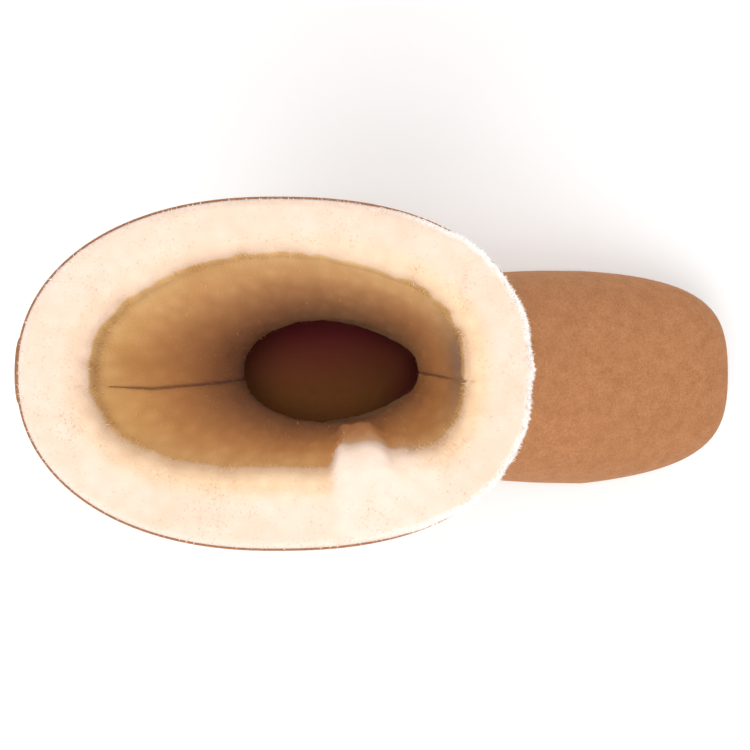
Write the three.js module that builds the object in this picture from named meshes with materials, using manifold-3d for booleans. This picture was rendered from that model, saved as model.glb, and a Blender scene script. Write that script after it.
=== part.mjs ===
// A tall sheepskin boot for the right foot: suede outside, deep fleece inside, on a moulded sole.
// Lengths are in millimetres. The boot is worked out with x from the heel to the toe, y to the wearer's left,
// which is the medial side, and z up from the floor. The finished group is then centred over its own box.

import * as THREE from "three";
import { mergeVertices } from "three/addons/utils/BufferGeometryUtils.js";
import Module from "manifold-3d";

const wasm = await Module();
wasm.setup();

// Driving dimensions: the foot of the boot
const bootLength = 274;
const ballWidth = 106.8;
const heelWidth = 84;
const throatHeight = 130;
const toeBoxHeight = 55;
const noseHeight = 34;
const toeSquareness = 3.8;
const toeUndercut = 5;
const toeTaper = 0.185;
const toeRoof = 2.4;
const ballSwing = 3.1;

// Driving dimensions: the shaft
const ankleBack = 16.5;
const ankleDepth = 119.5;
const ankleWidth = 85;
const collarHeight = 325;
const collarLength = 147.3;
const collarWidth = 101;
const collarOverhang = 8.5;

// Driving dimensions: the hide
const skinWall = 1.6;
const footPile = 8;
const anklePile = 20.5;
const collarPile = 17.9;
const pileLean = 3.5;
const pileProud = 2.2;
const rimRadius = 7;
const seamHeight = 1.3;
const seamWidth = 4;

// Driving dimensions: the overlays
const overlayWall = 1.4;
const counterReach = 68;
const counterHeight = 60;
const stripWidth = 19;

// Driving dimensions: the sole and the footbed
const soleForefoot = 13.5;
const soleHeel = 23.5;
const toeSpring = 8;
const archLift = 3.5;
const soleMargin = 1.8;
const sideGroove = 1.2;
const treadDepth = 2.4;
const treadGroove = 3.2;
const treadPitch = 11.5;
const treadRim = 9;
const insoleWall = 6;

// Driving dimensions: the tufts of fleece
const tuftWidth = 15;
const tuftProud = 5;
const lockWidth = 8;
const lockLength = 15;

// Fits and mesh density
const clearance = 0.3;
const hiddenTuck = 5;
const columns = 28;
const toeRings = 6;
const ringsPerSection = 2;
const soleSteps = 26;
const slabSteps = 40;
const lockCount = 28;
const tuftSteps = 8;

// Shares of the boot's length at which the sole changes
const SOLE = { heelRise: 0.22, ballRise: 0.7, springStart: 0.7, archStart: 0.31, archEnd: 0.6 };

// Where the tread is grooved, from the heel, as shares of the boot's length
const TREAD_ZONES = [[0.06, 0.29], [0.61, 0.945]];

// The ball is where the outline is widest, as a share of the boot's length
const ballShare = 0.73;

// What the toe's tip loses of the ball's swing and of the pile, and where the front seam starts by the
// throat's height
const toeStraightening = 0.6;
const toePileThinning = 0.1;
const seamFoot = 0.95;

// Foot sections, from the ball back to the heel. Each lies in a plane through a point on the instep and a
// point under the foot or behind the heel.
// top: along the vamp, 0 at the front of the ankle and 1 at the ball. rise: the instep's height, by the throat's.
// under: where it meets the sole or the heel, by the boot's length. back: its height there, by the throat's;
// null where the section ends below the sole's top. girth: 0 is the heel's width and 1 the ball's.
// swing: by the ball's swing. widest: how far up the section is widest. cup and crown: squareness below and above.
// fur columns: 0 is the foot's pile and 1 the ankle's, on the top, at the sides and underneath or behind.
const FOOT = [
  { top: 1.0, rise: 0.592, under: 0.73, back: null, girth: 1.0, swing: -1.0, widest: 0.3, cup: 4.5,
    crown: 2.3, furTop: 0.0, furSide: 0.0, furUnder: -0.33 },
  { top: 0.703, rise: 0.665, under: 0.623, back: null, girth: 0.95, swing: -0.9, widest: 0.3, cup: 4.5,
    crown: 2.25, furTop: 0.08, furSide: 0.0, furUnder: -0.33 },
  { top: 0.469, rise: 0.742, under: 0.514, back: null, girth: 0.77, swing: -0.85, widest: 0.31, cup: 4.3,
    crown: 2.15, furTop: 0.2, furSide: 0.04, furUnder: -0.33 },
  { top: 0.3125, rise: 0.815, under: 0.399, back: null, girth: 0.48, swing: -0.8, widest: 0.33, cup: 4.0,
    crown: 2.1, furTop: 0.38, furSide: 0.12, furUnder: -0.33 },
  { top: 0.211, rise: 0.885, under: 0.275, back: null, girth: 0.24, swing: -0.5, widest: 0.36, cup: 3.8,
    crown: 2.1, furTop: 0.54, furSide: 0.25, furUnder: -0.33 },
  { top: 0.14, rise: 0.95, under: 0.152, back: null, girth: 0.08, swing: -0.25, widest: 0.4, cup: 3.5,
    crown: 2.1, furTop: 0.7, furSide: 0.38, furUnder: -0.25 },
  { top: 0.09, rise: 1.015, under: 0.025, back: 0.16, girth: 0.0, swing: 0.0, widest: 0.42, cup: 3.0,
    crown: 2.1, furTop: 0.83, furSide: 0.5, furUnder: 0.08 },
  { top: 0.055, rise: 1.085, under: 0.0, back: 0.31, girth: 0.0, swing: 0.0, widest: 0.45, cup: 2.6,
    crown: 2.1, furTop: 0.92, furSide: 0.62, furUnder: 0.33 },
  { top: 0.031, rise: 1.16, under: 0.009, back: 0.49, girth: 0.0, swing: 0.0, widest: 0.47, cup: 2.4,
    crown: 2.1, furTop: 1.0, furSide: 0.75, furUnder: 0.6 },
];

// Shaft sections, from the ankle up to the collar.
// front and rear: the section's height at either end, 0 at the throat and 1 at the collar. lean and flare: how far
// the back line and the girth have gone from the ankle's to the collar's. shift: by the ball's swing.
// cup and crown: squareness behind and in front. fur columns: times the pile there, in front, beside and behind.
const SHAFT = [
  { front: 0.17, rear: -0.205, lean: 0.24, flare: 0.0, shift: 0.0, cup: 2.3, crown: 2.15,
    furFront: 1.0, furSide: 0.9, furRear: 0.88 },
  { front: 0.246, rear: -0.06, lean: 0.04, flare: 0.0, shift: 0.0, cup: 2.2, crown: 2.2,
    furFront: 1.0, furSide: 0.93, furRear: 1.03 },
  { front: 0.35, rear: 0.1, lean: 0.0, flare: 0.12, shift: 0.0, cup: 2.15, crown: 2.2,
    furFront: 1.0, furSide: 0.94, furRear: 1.07 },
  { front: 0.49, rear: 0.35, lean: 0.16, flare: 0.34, shift: -0.05, cup: 2.1, crown: 2.25,
    furFront: 0.99, furSide: 0.94, furRear: 1.07 },
  { front: 0.69, rear: 0.625, lean: 0.5, flare: 0.66, shift: -0.1, cup: 2.05, crown: 2.3,
    furFront: 0.985, furSide: 0.96, furRear: 1.04 },
  { front: 1.0, rear: 1.0, lean: 1.0, flare: 1.0, shift: -0.25, cup: 2.2, crown: 2.4,
    furFront: 0.985, furSide: 1.0, furRear: 1.015 },
];

// The sole's side, from the tread to the feather edge. up: by its thickness. out: by the side groove's depth.
const SOLE_SIDE = [
  { up: 0.0, out: -1.4 },
  { up: 0.1, out: 0.0 },
  { up: 0.46, out: 0.0 },
  { up: 0.5, out: -1.0 },
  { up: 0.58, out: -1.0 },
  { up: 0.62, out: 0.0 },
  { up: 0.92, out: 0.0 },
  { up: 1.0, out: -0.8 },
];

const { lerp, clamp, smoothstep } = THREE.MathUtils;
const ballX = bootLength * ballShare;
const ankleFront = ankleBack + ankleDepth;
const collarFront = collarLength - collarOverhang;
const furInset = skinWall + clearance;

// Height of the sole's top and of its tread at a distance from the heel
function soleSpring(x) {
  const past = Math.max(0, x / bootLength - SOLE.springStart) / (1 - SOLE.springStart);
  return toeSpring * past * past;
}

function soleTop(x) {
  const heel = 1 - smoothstep(x / bootLength, SOLE.heelRise, SOLE.ballRise);
  return lerp(soleForefoot, soleHeel, heel) + soleSpring(x);
}

function soleBottom(x) {
  const along = clamp((x / bootLength - SOLE.archStart) / (SOLE.archEnd - SOLE.archStart), 0, 1);
  return soleSpring(x) + archLift * Math.sin(Math.PI * along) ** 2;
}

// The rows above, in millimetres
function footSection(row) {
  const backX = bootLength * row.under;
  return {
    topX: lerp(ankleFront, ballX, row.top),
    topZ: throatHeight * row.rise,
    backX,
    backZ: row.back === null ? soleTop(backX) - hiddenTuck : throatHeight * row.back,
    half: lerp(heelWidth, ballWidth, row.girth) / 2,
    swing: ballSwing * row.swing,
    widest: row.widest,
    cup: row.cup,
    crown: row.crown,
    furTop: lerp(footPile, anklePile, row.furTop),
    furSide: lerp(footPile, anklePile, row.furSide),
    furBack: lerp(footPile, anklePile, row.furUnder),
    furLean: 0,
  };
}

function shaftSection(row) {
  const pile = lerp(anklePile, collarPile, row.flare);
  return {
    topX: lerp(ankleFront, collarFront, row.flare),
    topZ: lerp(throatHeight, collarHeight, row.front),
    backX: lerp(ankleBack, -collarOverhang, row.lean),
    backZ: lerp(throatHeight, collarHeight, row.rear),
    half: lerp(ankleWidth, collarWidth, row.flare) / 2,
    swing: ballSwing * row.shift,
    widest: 0.5,
    cup: row.cup,
    crown: row.crown,
    furTop: pile * row.furFront,
    furSide: pile * row.furSide,
    furBack: pile * row.furRear,
    furLean: pileLean * row.flare,
  };
}

const sections = [...FOOT.map(footSection), ...SHAFT.map(shaftSection)];
const lastSection = sections.length - 1;

// A smooth curve through one column of the sections, at a row number that need not be whole
function through(column, at) {
  const i = Math.min(Math.floor(at), lastSection - 1);
  const t = at - i;
  const value = (n) => sections[clamp(n, 0, lastSection)][column];
  const before = i === 0 ? 2 * value(0) - value(1) : value(i - 1);
  const after = i === lastSection - 1 ? 2 * value(lastSection) - value(lastSection - 1) : value(i + 2);
  const leave = (value(i + 1) - before) / 2;
  const arrive = (after - value(i)) / 2;
  const rest = value(i + 1) - value(i);
  return value(i) + t * (leave + t * (3 * rest - 2 * leave - arrive + t * (leave + arrive - 2 * rest)));
}

function bodySection(at) {
  const names = Object.keys(sections[0]);
  return Object.fromEntries(names.map((name) => [name, through(name, at)]));
}

// The squared-off toe: ahead of the ball the section narrows and closes on the nose. reach is 0 at the ball and
// 1 at the tip.
const vampSlope = (sections[1].topZ - sections[0].topZ) / (sections[1].topX - sections[0].topX);

function toeSection(reach) {
  const toeLength = bootLength - ballX;
  const x = ballX + toeLength * reach;
  const close = (power) => Math.max(0, 1 - reach ** power) ** (1 / power);
  const start = bodySection(0);
  const drop = toeBoxHeight - start.topZ - vampSlope * toeLength;
  const crownLine = start.topZ + vampSlope * toeLength * reach + drop * reach ** 2;
  return {
    ...start,
    topX: x,
    topZ: lerp(noseHeight, crownLine, close(toeRoof)),
    backX: x,
    backZ: lerp(noseHeight, soleTop(x) - hiddenTuck, close(toeUndercut)),
    half: start.half * (1 - toeTaper * reach ** 1.3) * close(toeSquareness),
    swing: start.swing * (1 - toeStraightening * reach),
    furTop: start.furTop * (1 - toePileThinning * reach),
    furSide: start.furSide * (1 - toePileThinning * reach),
  };
}

// u runs from -1 at the toe's tip over 0 at the ball to lastSection at the collar
function sectionAt(u) {
  if (u >= 0) return bodySection(u);
  const turn = (-u * Math.PI) / 2;
  const [along, across] = [Math.sin(turn), Math.cos(turn)];
  const radius = (along ** toeSquareness + across ** toeSquareness) ** (-1 / toeSquareness);
  return toeSection(Math.min(1, along * radius));
}

// A point on the outside of the suede. turn runs round the section from the medial side over the instep or front.
function skinPoint(u, turn) {
  const s = sectionAt(u);
  const [across, up] = [Math.cos(turn), Math.sin(turn)];
  const power = up >= 0 ? s.crown : s.cup;
  const radius = (Math.abs(across) ** power + Math.abs(up) ** power) ** (-1 / power);
  const share = s.widest + (up >= 0 ? 1 - s.widest : s.widest) * up * radius;
  return new THREE.Vector3(
    lerp(s.backX, s.topX, share),
    s.swing + s.half * across * radius,
    lerp(s.backZ, s.topZ, share),
  );
}

// The outward direction there. It levels out towards the collar, so that every layer ends at the collar's height.
function outward(u, turn) {
  const step = 0.01;
  if (u <= -1) return new THREE.Vector3(1, 0, 0);
  const along = skinPoint(Math.min(u + step, lastSection), turn).sub(skinPoint(Math.max(u - step, -1), turn));
  const round = skinPoint(u, turn + step).sub(skinPoint(u, turn - step));
  const normal = along.cross(round);
  normal.z *= clamp(lastSection - u, 0, 1);
  return normal.normalize();
}

// A point a depth inside the suede's face; a negative depth lies outside it
function layerPoint(u, turn, depth) {
  return skinPoint(u, turn).addScaledVector(outward(u, turn), -depth);
}

// How deep the fleece is, round each section
function pileDepth(u, turn) {
  const s = sectionAt(u);
  const [across, up] = [Math.cos(turn), Math.sin(turn)];
  const end = smoothstep(Math.abs(up), 0, 1);
  return lerp(s.furSide - s.furLean * across, up >= 0 ? s.furTop : s.furBack, end);
}

// Solids from rings of points
const turns = Array.from({ length: columns }, (_, i) => (2 * Math.PI * i) / columns);

const toeStations = Array.from({ length: toeRings - 1 }, (_, i) => -1 + (i + 1) / toeRings);
const bodyStations = Array.from({ length: lastSection * ringsPerSection + 1 }, (_, i) => i / ringsPerSection);
const stations = [...toeStations, ...bodyStations];

function solidOf(geometry) {
  geometry.deleteAttribute("normal");
  geometry.deleteAttribute("uv");
  const merged = mergeVertices(geometry, 1e-4);
  return new wasm.Manifold(
    new wasm.Mesh({
      numProp: 3,
      vertProperties: new Float32Array(merged.attributes.position.array),
      triVerts: new Uint32Array(merged.index.array),
    }),
  );
}

// Closes a stack of rings into one solid, from a first point through the rings to a last one. Each face is split
// along the diagonal that mirrors the other side's; past the ring turnBack, where the stack runs back down inside,
// the other way, so that a layer's two sides and its neighbours' are split alike.
function solidFromRings(first, rings, last, turnBack = rings.length) {
  const points = [first, ...rings.flat(), last];
  const size = rings[0].length;
  const end = 1 + (rings.length - 1) * size;
  const index = [];
  for (let i = 0; i < size; i++) {
    const next = (i + 1) % size;
    const lateral = i >= size / 4 && i < (3 * size) / 4;
    index.push(0, 1 + i, 1 + next);
    for (let r = 0; r + 1 < rings.length; r++) {
      const [low, high] = [1 + r * size, 1 + (r + 1) * size];
      if (lateral === r >= turnBack) index.push(low + i, high + i, high + next, low + i, high + next, low + next);
      else index.push(low + i, high + i, low + next, high + i, high + next, low + next);
    }
    index.push(end + i, points.length - 1, end + next);
  }
  const geometry = new THREE.BufferGeometry().setFromPoints(points);
  geometry.setIndex(index);
  return solidOf(geometry);
}

function layerRing(u, depthAt) {
  return turns.map((turn) => layerPoint(u, turn, depthAt(u, turn)));
}

// A hollow sock between two depths: out along the outer face, over the rim at the collar and back inside
function sock(outer, inner, rimRings = []) {
  const outside = stations.map((u) => layerRing(u, outer));
  const inside = stations.map((u) => layerRing(u, inner)).reverse();
  const rings = [...outside, ...rimRings, ...inside];
  const tips = [layerPoint(-1, 0, outer(-1, 0)), layerPoint(-1, 0, inner(-1, 0))];
  return solidFromRings(tips[0], rings, tips[1], outside.length + rimRings.length);
}

// Everything inside one depth, from the toe to the collar
function filled(depth) {
  const rings = stations.map((u) => layerRing(u, () => depth));
  const middle = rings.at(-1).reduce((sum, p) => sum.add(p), new THREE.Vector3()).divideScalar(columns);
  return solidFromRings(layerPoint(-1, 0, depth), rings, middle);
}

// A side outline, of points [x, z], pushed through the boot from one y to another
function pushedThrough(outline, fromY, toY) {
  const shape = new THREE.Shape(outline.map(([x, z]) => new THREE.Vector2(x, z)));
  const geometry = new THREE.ExtrudeGeometry(shape, { depth: toY - fromY, bevelEnabled: false });
  geometry.rotateX(Math.PI / 2);
  geometry.translate(0, toY, 0);
  return solidOf(geometry);
}

const beyond = bootLength;

// The space between the sole's top raised by one amount and raised by another
function slabOverSole(low, high) {
  const xs = Array.from({ length: slabSteps + 1 }, (_, i) => lerp(-beyond / 4, beyond * 1.25, i / slabSteps));
  const above = xs.map((x) => [x, soleTop(x) + high]);
  const below = xs.map((x) => [x, soleTop(x) + low]).reverse();
  return pushedThrough([...below, ...above], -beyond, beyond);
}

const underUpper = slabOverSole(-beyond, clearance);
const underFleece = slabOverSole(-beyond, insoleWall + 3 * clearance);

// Upper: the suede shell with its raised seams
const throatZ = throatHeight * seamFoot;
const vampSeam = [
  [0.4, 0], [0.408, 0.2], [0.427, 0.42], [0.455, 0.63], [0.49, 0.81], [0.53, 0.95],
].map(([along, up]) => [bootLength * along, lerp(soleTop(bootLength * along) - hiddenTuck, throatZ, up)]);

function ribbon(line, width) {
  const side = (sign) =>
    line.map(([x, z], i) => {
      const [before, after] = [line[Math.max(0, i - 1)], line[Math.min(line.length - 1, i + 1)]];
      const along = new THREE.Vector2(after[0] - before[0], after[1] - before[1]).normalize();
      return [x - along.y * sign * (width / 2), z + along.x * sign * (width / 2)];
    });
  return [...side(-1), ...side(1).reverse()];
}

function makeUpper() {
  const skin = sock(() => 0, () => skinWall);
  const seamStock = sock(() => -seamHeight, () => skinWall / 2);
  const overVamp = pushedThrough(ribbon(vampSeam, seamWidth), -beyond, beyond);
  const frontLine = [[ankleFront - ankleDepth / 2, throatZ], [beyond, throatZ], [beyond, collarHeight + beyond],
    [ankleFront - ankleDepth / 2, collarHeight + beyond]];
  const upFront = pushedThrough(frontLine, -seamWidth / 2, seamWidth / 2);
  return skin.add(seamStock.intersect(overVamp)).add(seamStock.intersect(upFront)).subtract(underUpper);
}

// Fleece: the deep pile, with a rounded rim, the tuft on the lateral wall and locks round the rim
const tuftTurn = THREE.MathUtils.degToRad(158.5);

function rimRing(depthShare, raise) {
  return turns.map((turn) => {
    const depth = furInset + pileDepth(lastSection, turn) * depthShare;
    return layerPoint(lastSection, turn, depth).setZ(collarHeight + raise);
  });
}

function innerFur(u, turn) {
  const z = skinPoint(u, turn).z;
  const climb = clamp((z - (collarHeight - rimRadius)) / rimRadius, 0, 1);
  const rounding = rimRadius * 0.5 * (1 - Math.sqrt(1 - climb ** 2));
  return furInset + pileDepth(u, turn) - rounding;
}

function ball(centre, radii) {
  const geometry = new THREE.SphereGeometry(1, 8, 6);
  geometry.scale(...radii);
  geometry.translate(centre.x, centre.y, centre.z);
  return solidOf(geometry);
}

function lock(u, turn, size) {
  const geometry = new THREE.ConeGeometry(lockWidth / 2, lockLength, 6);
  geometry.scale(1, 1, 0.8);
  const lean = outward(u, turn).multiplyScalar(-0.28).add(new THREE.Vector3(0, 0, -1)).normalize();
  geometry.applyQuaternion(new THREE.Quaternion().setFromUnitVectors(new THREE.Vector3(0, 1, 0), lean));
  const root = layerPoint(u, turn, innerFur(u, turn) - lockWidth * size);
  geometry.translate(root.x, root.y, root.z);
  return solidOf(geometry);
}

function makeFleece() {
  const rim = [rimRing(0.12, pileProud * 0.8), rimRing(0.45, pileProud), rimRing(0.72, pileProud * 0.5)];
  let fleece = sock(() => furInset, innerFur, rim);
  for (let i = 0; i < tuftSteps; i++) {
    const u = lastSection - 0.26 - i * 0.3;
    const shrink = 1 - (0.5 * i) / tuftSteps;
    const centre = layerPoint(u, tuftTurn, innerFur(u, tuftTurn));
    fleece = fleece.add(ball(centre, [(tuftWidth / 2) * shrink, tuftProud * shrink, tuftWidth]));
  }
  for (let i = 0; i < lockCount; i++) {
    const u = lastSection - 0.2 - 0.1 * (i % 3);
    fleece = fleece.add(lock(u, (2 * Math.PI * (i + 0.5)) / lockCount, 0.1 + 0.12 * (i % 2)));
  }
  return fleece.subtract(underFleece);
}

// Insole: what fits inside the suede, between the sole's top and the fleece
function makeInsole() {
  return filled(furInset).intersect(slabOverSole(clearance, clearance + insoleWall));
}

// Overlays, laid a clearance off the suede
const overlayStock = sock(() => -clearance - overlayWall, () => -clearance);
const counterTop = soleHeel + counterHeight;

function makeCounter() {
  const edge = Array.from({ length: 11 }, (_, i) => {
    const up = Math.sin((Math.PI * i) / 20);
    return [counterReach * (1 - up ** 2.5) ** (1 / 2.3), soleHeel + counterHeight * up];
  });
  const outline = [[-beyond, 0], [counterReach, 0], ...edge, [-beyond, counterTop]];
  return overlayStock.intersect(pushedThrough(outline, -beyond, beyond)).subtract(underUpper);
}

function makeStrip() {
  const from = counterTop + clearance;
  const outline = [[-beyond, from], [ankleFront - ankleDepth / 2, from],
    [ankleFront - ankleDepth / 2, collarHeight + beyond], [-beyond, collarHeight + beyond]];
  return overlayStock.intersect(pushedThrough(outline, -stripWidth / 2, stripWidth / 2));
}

// Sole: its outline is the line where the upper meets it, let out by a margin

// The point at which a section crosses the sole's top, on the medial side (1) or the lateral side (-1)
function featherPoint(u, side) {
  let [high, low] = side > 0 ? [2 * Math.PI, 1.5 * Math.PI] : [Math.PI, 1.5 * Math.PI];
  for (let i = 0; i < 30; i++) {
    const turn = (high + low) / 2;
    const p = skinPoint(u, turn);
    if (p.z > soleTop(p.x)) high = turn;
    else low = turn;
  }
  const p = skinPoint(u, (high + low) / 2);
  return new THREE.Vector2(p.x, p.y);
}

// Where the line under the foot comes up through the sole's top, between two stations
function crossing(above, below) {
  let [high, low] = [above, below];
  for (let i = 0; i < 30; i++) {
    const u = (high + low) / 2;
    const s = sectionAt(u);
    if (s.backZ > soleTop(s.backX)) high = u;
    else low = u;
  }
  return (high + low) / 2;
}

const soleToe = crossing(-1, 0);
const soleHeelEnd = crossing(FOOT.length - 1, FOOT.length - 4);

function soleOutline() {
  const us = Array.from({ length: soleSteps + 1 }, (_, i) => {
    return lerp(soleToe, soleHeelEnd, (1 - Math.cos((Math.PI * i) / soleSteps)) / 2);
  });
  const medial = us.map((u) => featherPoint(u, 1));
  const lateral = us.slice(1, -1).map((u) => featherPoint(u, -1)).reverse();
  return [...medial, ...lateral];
}

// Lets an outline out, or takes it in
function letOut(outline, amount) {
  return outline.map((p, i) => {
    const before = outline[(i + outline.length - 1) % outline.length];
    const after = outline[(i + 1) % outline.length];
    const along = after.clone().sub(before).normalize();
    return new THREE.Vector2(p.x + along.y * amount, p.y - along.x * amount);
  });
}

// The sole without its tread: a stack of outlines up its side, closed on top and underneath by strips between
// points that face each other across it
function soleBlank() {
  const line = soleOutline();
  const size = line.length;
  const rings = SOLE_SIDE.map(({ up, out }) =>
    letOut(line, soleMargin + out * sideGroove).map(
      (p) => new THREE.Vector3(p.x, p.y, lerp(soleBottom(p.x), soleTop(p.x), up)),
    ),
  );
  const index = [];
  for (let r = 0; r + 1 < rings.length; r++) {
    for (let i = 0; i < size; i++) {
      const next = (i + 1) % size;
      const [low, high] = [r * size, (r + 1) * size];
      index.push(low + i, low + next, high + next, low + i, high + next, high + i);
    }
  }
  const top = (rings.length - 1) * size;
  for (let i = 0; i < size / 2; i++) {
    const [a, b] = [i, i + 1];
    const [c, d] = [(size - i) % size, size - i - 1];
    for (const [p, q, s] of [[a, b, d], [a, d, c]]) {
      if (p === q || q === s || p === s) continue;
      index.push(p, s, q);
      index.push(top + p, top + q, top + s);
    }
  }
  const geometry = new THREE.BufferGeometry().setFromPoints(rings.flat());
  geometry.setIndex(index);
  return solidOf(geometry);
}

// The lowest and highest y at which an outline crosses a distance from the heel
function crossings(outline, x) {
  const ys = outline.flatMap((p, i) => {
    const q = outline[(i + 1) % outline.length];
    if ((p.x - x) * (q.x - x) > 0 || p.x === q.x) return [];
    return [lerp(p.y, q.y, (x - p.x) / (q.x - p.x))];
  });
  return [Math.min(...ys), Math.max(...ys)];
}

// Tread grooves run across the forefoot and the heel, and stop at a rim
function treadGrooves() {
  const line = letOut(soleOutline(), soleMargin - treadRim);
  const grooves = [];
  for (const [from, to] of TREAD_ZONES) {
    const count = Math.floor((bootLength * (to - from)) / treadPitch) + 1;
    for (let i = 0; i < count; i++) {
      const x = bootLength * from + treadPitch * i;
      const [lowA, highA] = crossings(line, x - treadGroove / 2);
      const [lowB, highB] = crossings(line, x + treadGroove / 2);
      const [low, high] = [Math.max(lowA, lowB), Math.min(highA, highB)];
      const groove = new THREE.BoxGeometry(treadGroove, high - low, treadDepth * 2);
      const slope = (soleBottom(x + 1) - soleBottom(x - 1)) / 2;
      groove.rotateY(-Math.atan(slope));
      groove.translate(x, (high + low) / 2, soleBottom(x));
      grooves.push(solidOf(groove));
    }
  }
  return grooves;
}

function makeOutsole() {
  return treadGrooves().reduce((sole, groove) => sole.subtract(groove), soleBlank());
}

// Finishes and the assembly
const suede = { color: 0xb97f59, roughness: 0.95, metalness: 0 };
const PIECES = [
  ["outsole", makeOutsole(), { color: 0x9c7048, roughness: 0.8, metalness: 0 }],
  ["insole", makeInsole(), { color: 0x5a3018, roughness: 1, metalness: 0 }],
  ["upper", makeUpper(), suede],
  ["fleece", makeFleece(), { color: 0xfbe6cf, roughness: 1, metalness: 0 }],
  ["heel_counter", makeCounter(), suede],
  ["back_strip", makeStrip(), suede],
];

function meshOf(name, solid, finish) {
  const { numProp, vertProperties, triVerts } = solid.getMesh();
  const points = [];
  for (let i = 0; i < vertProperties.length; i += numProp) {
    points.push(new THREE.Vector3(...vertProperties.slice(i, i + 3)));
  }
  const geometry = new THREE.BufferGeometry().setFromPoints(points);
  geometry.setIndex(Array.from(triVerts));
  geometry.computeVertexNormals();
  const mesh = new THREE.Mesh(geometry, new THREE.MeshStandardMaterial(finish));
  mesh.name = name;
  return mesh;
}

const boot = new THREE.Group();
PIECES.forEach(([name, solid, finish]) => boot.add(meshOf(name, solid, finish)));

const middle = new THREE.Box3().setFromObject(boot).getCenter(new THREE.Vector3());
boot.position.set(-middle.x, -middle.y, 0);

export default boot;
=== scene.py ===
# %% [markdown]
# # A tall sheepskin boot
# The object is one right boot of suede-faced sheepskin, photographed from straight above. From there the
# eye looks down through the collar: a broad ring of cut fleece, the tan wall of the shaft and the dark way
# into the foot. Only the toe shows from outside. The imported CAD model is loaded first, because every piece
# below has to sit where the solids sit.

import math

import bpy
import numpy as np
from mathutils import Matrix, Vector


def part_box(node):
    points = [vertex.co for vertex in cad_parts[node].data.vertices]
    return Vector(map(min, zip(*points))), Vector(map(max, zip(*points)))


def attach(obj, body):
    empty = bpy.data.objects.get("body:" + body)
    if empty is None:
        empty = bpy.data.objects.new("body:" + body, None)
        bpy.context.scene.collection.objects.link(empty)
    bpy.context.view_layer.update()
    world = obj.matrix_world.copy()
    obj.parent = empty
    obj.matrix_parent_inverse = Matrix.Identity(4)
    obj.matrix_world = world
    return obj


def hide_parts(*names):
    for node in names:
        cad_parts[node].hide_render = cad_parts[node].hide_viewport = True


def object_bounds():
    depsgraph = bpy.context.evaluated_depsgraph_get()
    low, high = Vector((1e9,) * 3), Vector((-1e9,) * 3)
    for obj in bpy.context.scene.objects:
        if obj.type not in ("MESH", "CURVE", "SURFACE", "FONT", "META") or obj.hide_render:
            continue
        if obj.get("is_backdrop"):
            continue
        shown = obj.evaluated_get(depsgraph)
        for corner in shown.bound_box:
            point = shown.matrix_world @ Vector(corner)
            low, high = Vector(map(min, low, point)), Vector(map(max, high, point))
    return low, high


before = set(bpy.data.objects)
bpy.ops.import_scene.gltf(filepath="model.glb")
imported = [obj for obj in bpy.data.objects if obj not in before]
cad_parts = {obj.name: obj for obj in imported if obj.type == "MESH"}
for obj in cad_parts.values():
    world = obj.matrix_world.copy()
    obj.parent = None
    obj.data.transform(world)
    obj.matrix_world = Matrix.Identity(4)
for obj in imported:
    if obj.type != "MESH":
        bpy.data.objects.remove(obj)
cad_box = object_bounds()
print("nodes:", sorted(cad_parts))

# %% [markdown]
# ## The last, as numbers
# A boot's shape is drawn over a last, section by section. The CAD source holds those sections as two short
# tables, and the same rows are written here again, because this file can't read that one. Lengths are in
# millimetres with x from the heel, y to the medial side and z from the floor, and one shift at the end puts
# them in the frame. A lattice or a sculpted mesh would also do, but then no seam could be placed by its
# size.

# %% Sizes of the boot
BOOT_LENGTH = 274.0
BALL_WIDTH = 106.8
HEEL_WIDTH = 84.0
THROAT_HEIGHT = 130.0
TOE_BOX_HEIGHT = 55.0
NOSE_HEIGHT = 34.0
TOE_SQUARENESS = 3.8
TOE_UNDERCUT = 5.0
TOE_TAPER = 0.185
TOE_ROOF = 2.4
TOE_STRAIGHTENING = 0.6
TOE_PILE_THINNING = 0.1
BALL_SWING = 3.1
BALL_X = BOOT_LENGTH * 0.73
ANKLE_BACK = 16.5
ANKLE_DEPTH = 119.5
ANKLE_WIDTH = 85.0
COLLAR_HEIGHT = 325.0
COLLAR_LENGTH = 147.3
COLLAR_WIDTH = 101.0
COLLAR_OVERHANG = 8.5
SKIN = 1.6
GAP = 0.3
FUR_INSET = SKIN + GAP
FOOT_PILE = 8.0
ANKLE_PILE = 20.5
COLLAR_PILE = 17.9
PILE_LEAN = 3.5
RIM_RADIUS = 7.0
INSOLE_WALL = 6.0
SOLE_FOREFOOT = 13.5
SOLE_HEEL = 23.5
TOE_SPRING = 8.0
SPRING_START = 0.7
HIDDEN_TUCK = 5.0
SEAM_FOOT = 0.95


def lerp(a, b, t):
    return a + (b - a) * t


def smoothstep(x, low, high):
    t = np.clip((x - low) / (high - low), 0, 1)
    return t * t * (3 - 2 * t)


def sole_spring(x):
    return TOE_SPRING * (np.maximum(0, x / BOOT_LENGTH - SPRING_START) / (1 - SPRING_START)) ** 2


def sole_top(x):
    """Height of the sole's upper face, x millimetres from the heel."""
    x = np.asarray(x, float)
    heel = 1 - smoothstep(x / BOOT_LENGTH, 0.22, 0.7)
    return lerp(SOLE_FOREFOOT, SOLE_HEEL, heel) + sole_spring(x)


print("boot:", BOOT_LENGTH, "mm long and", COLLAR_HEIGHT, "mm high")

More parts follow.
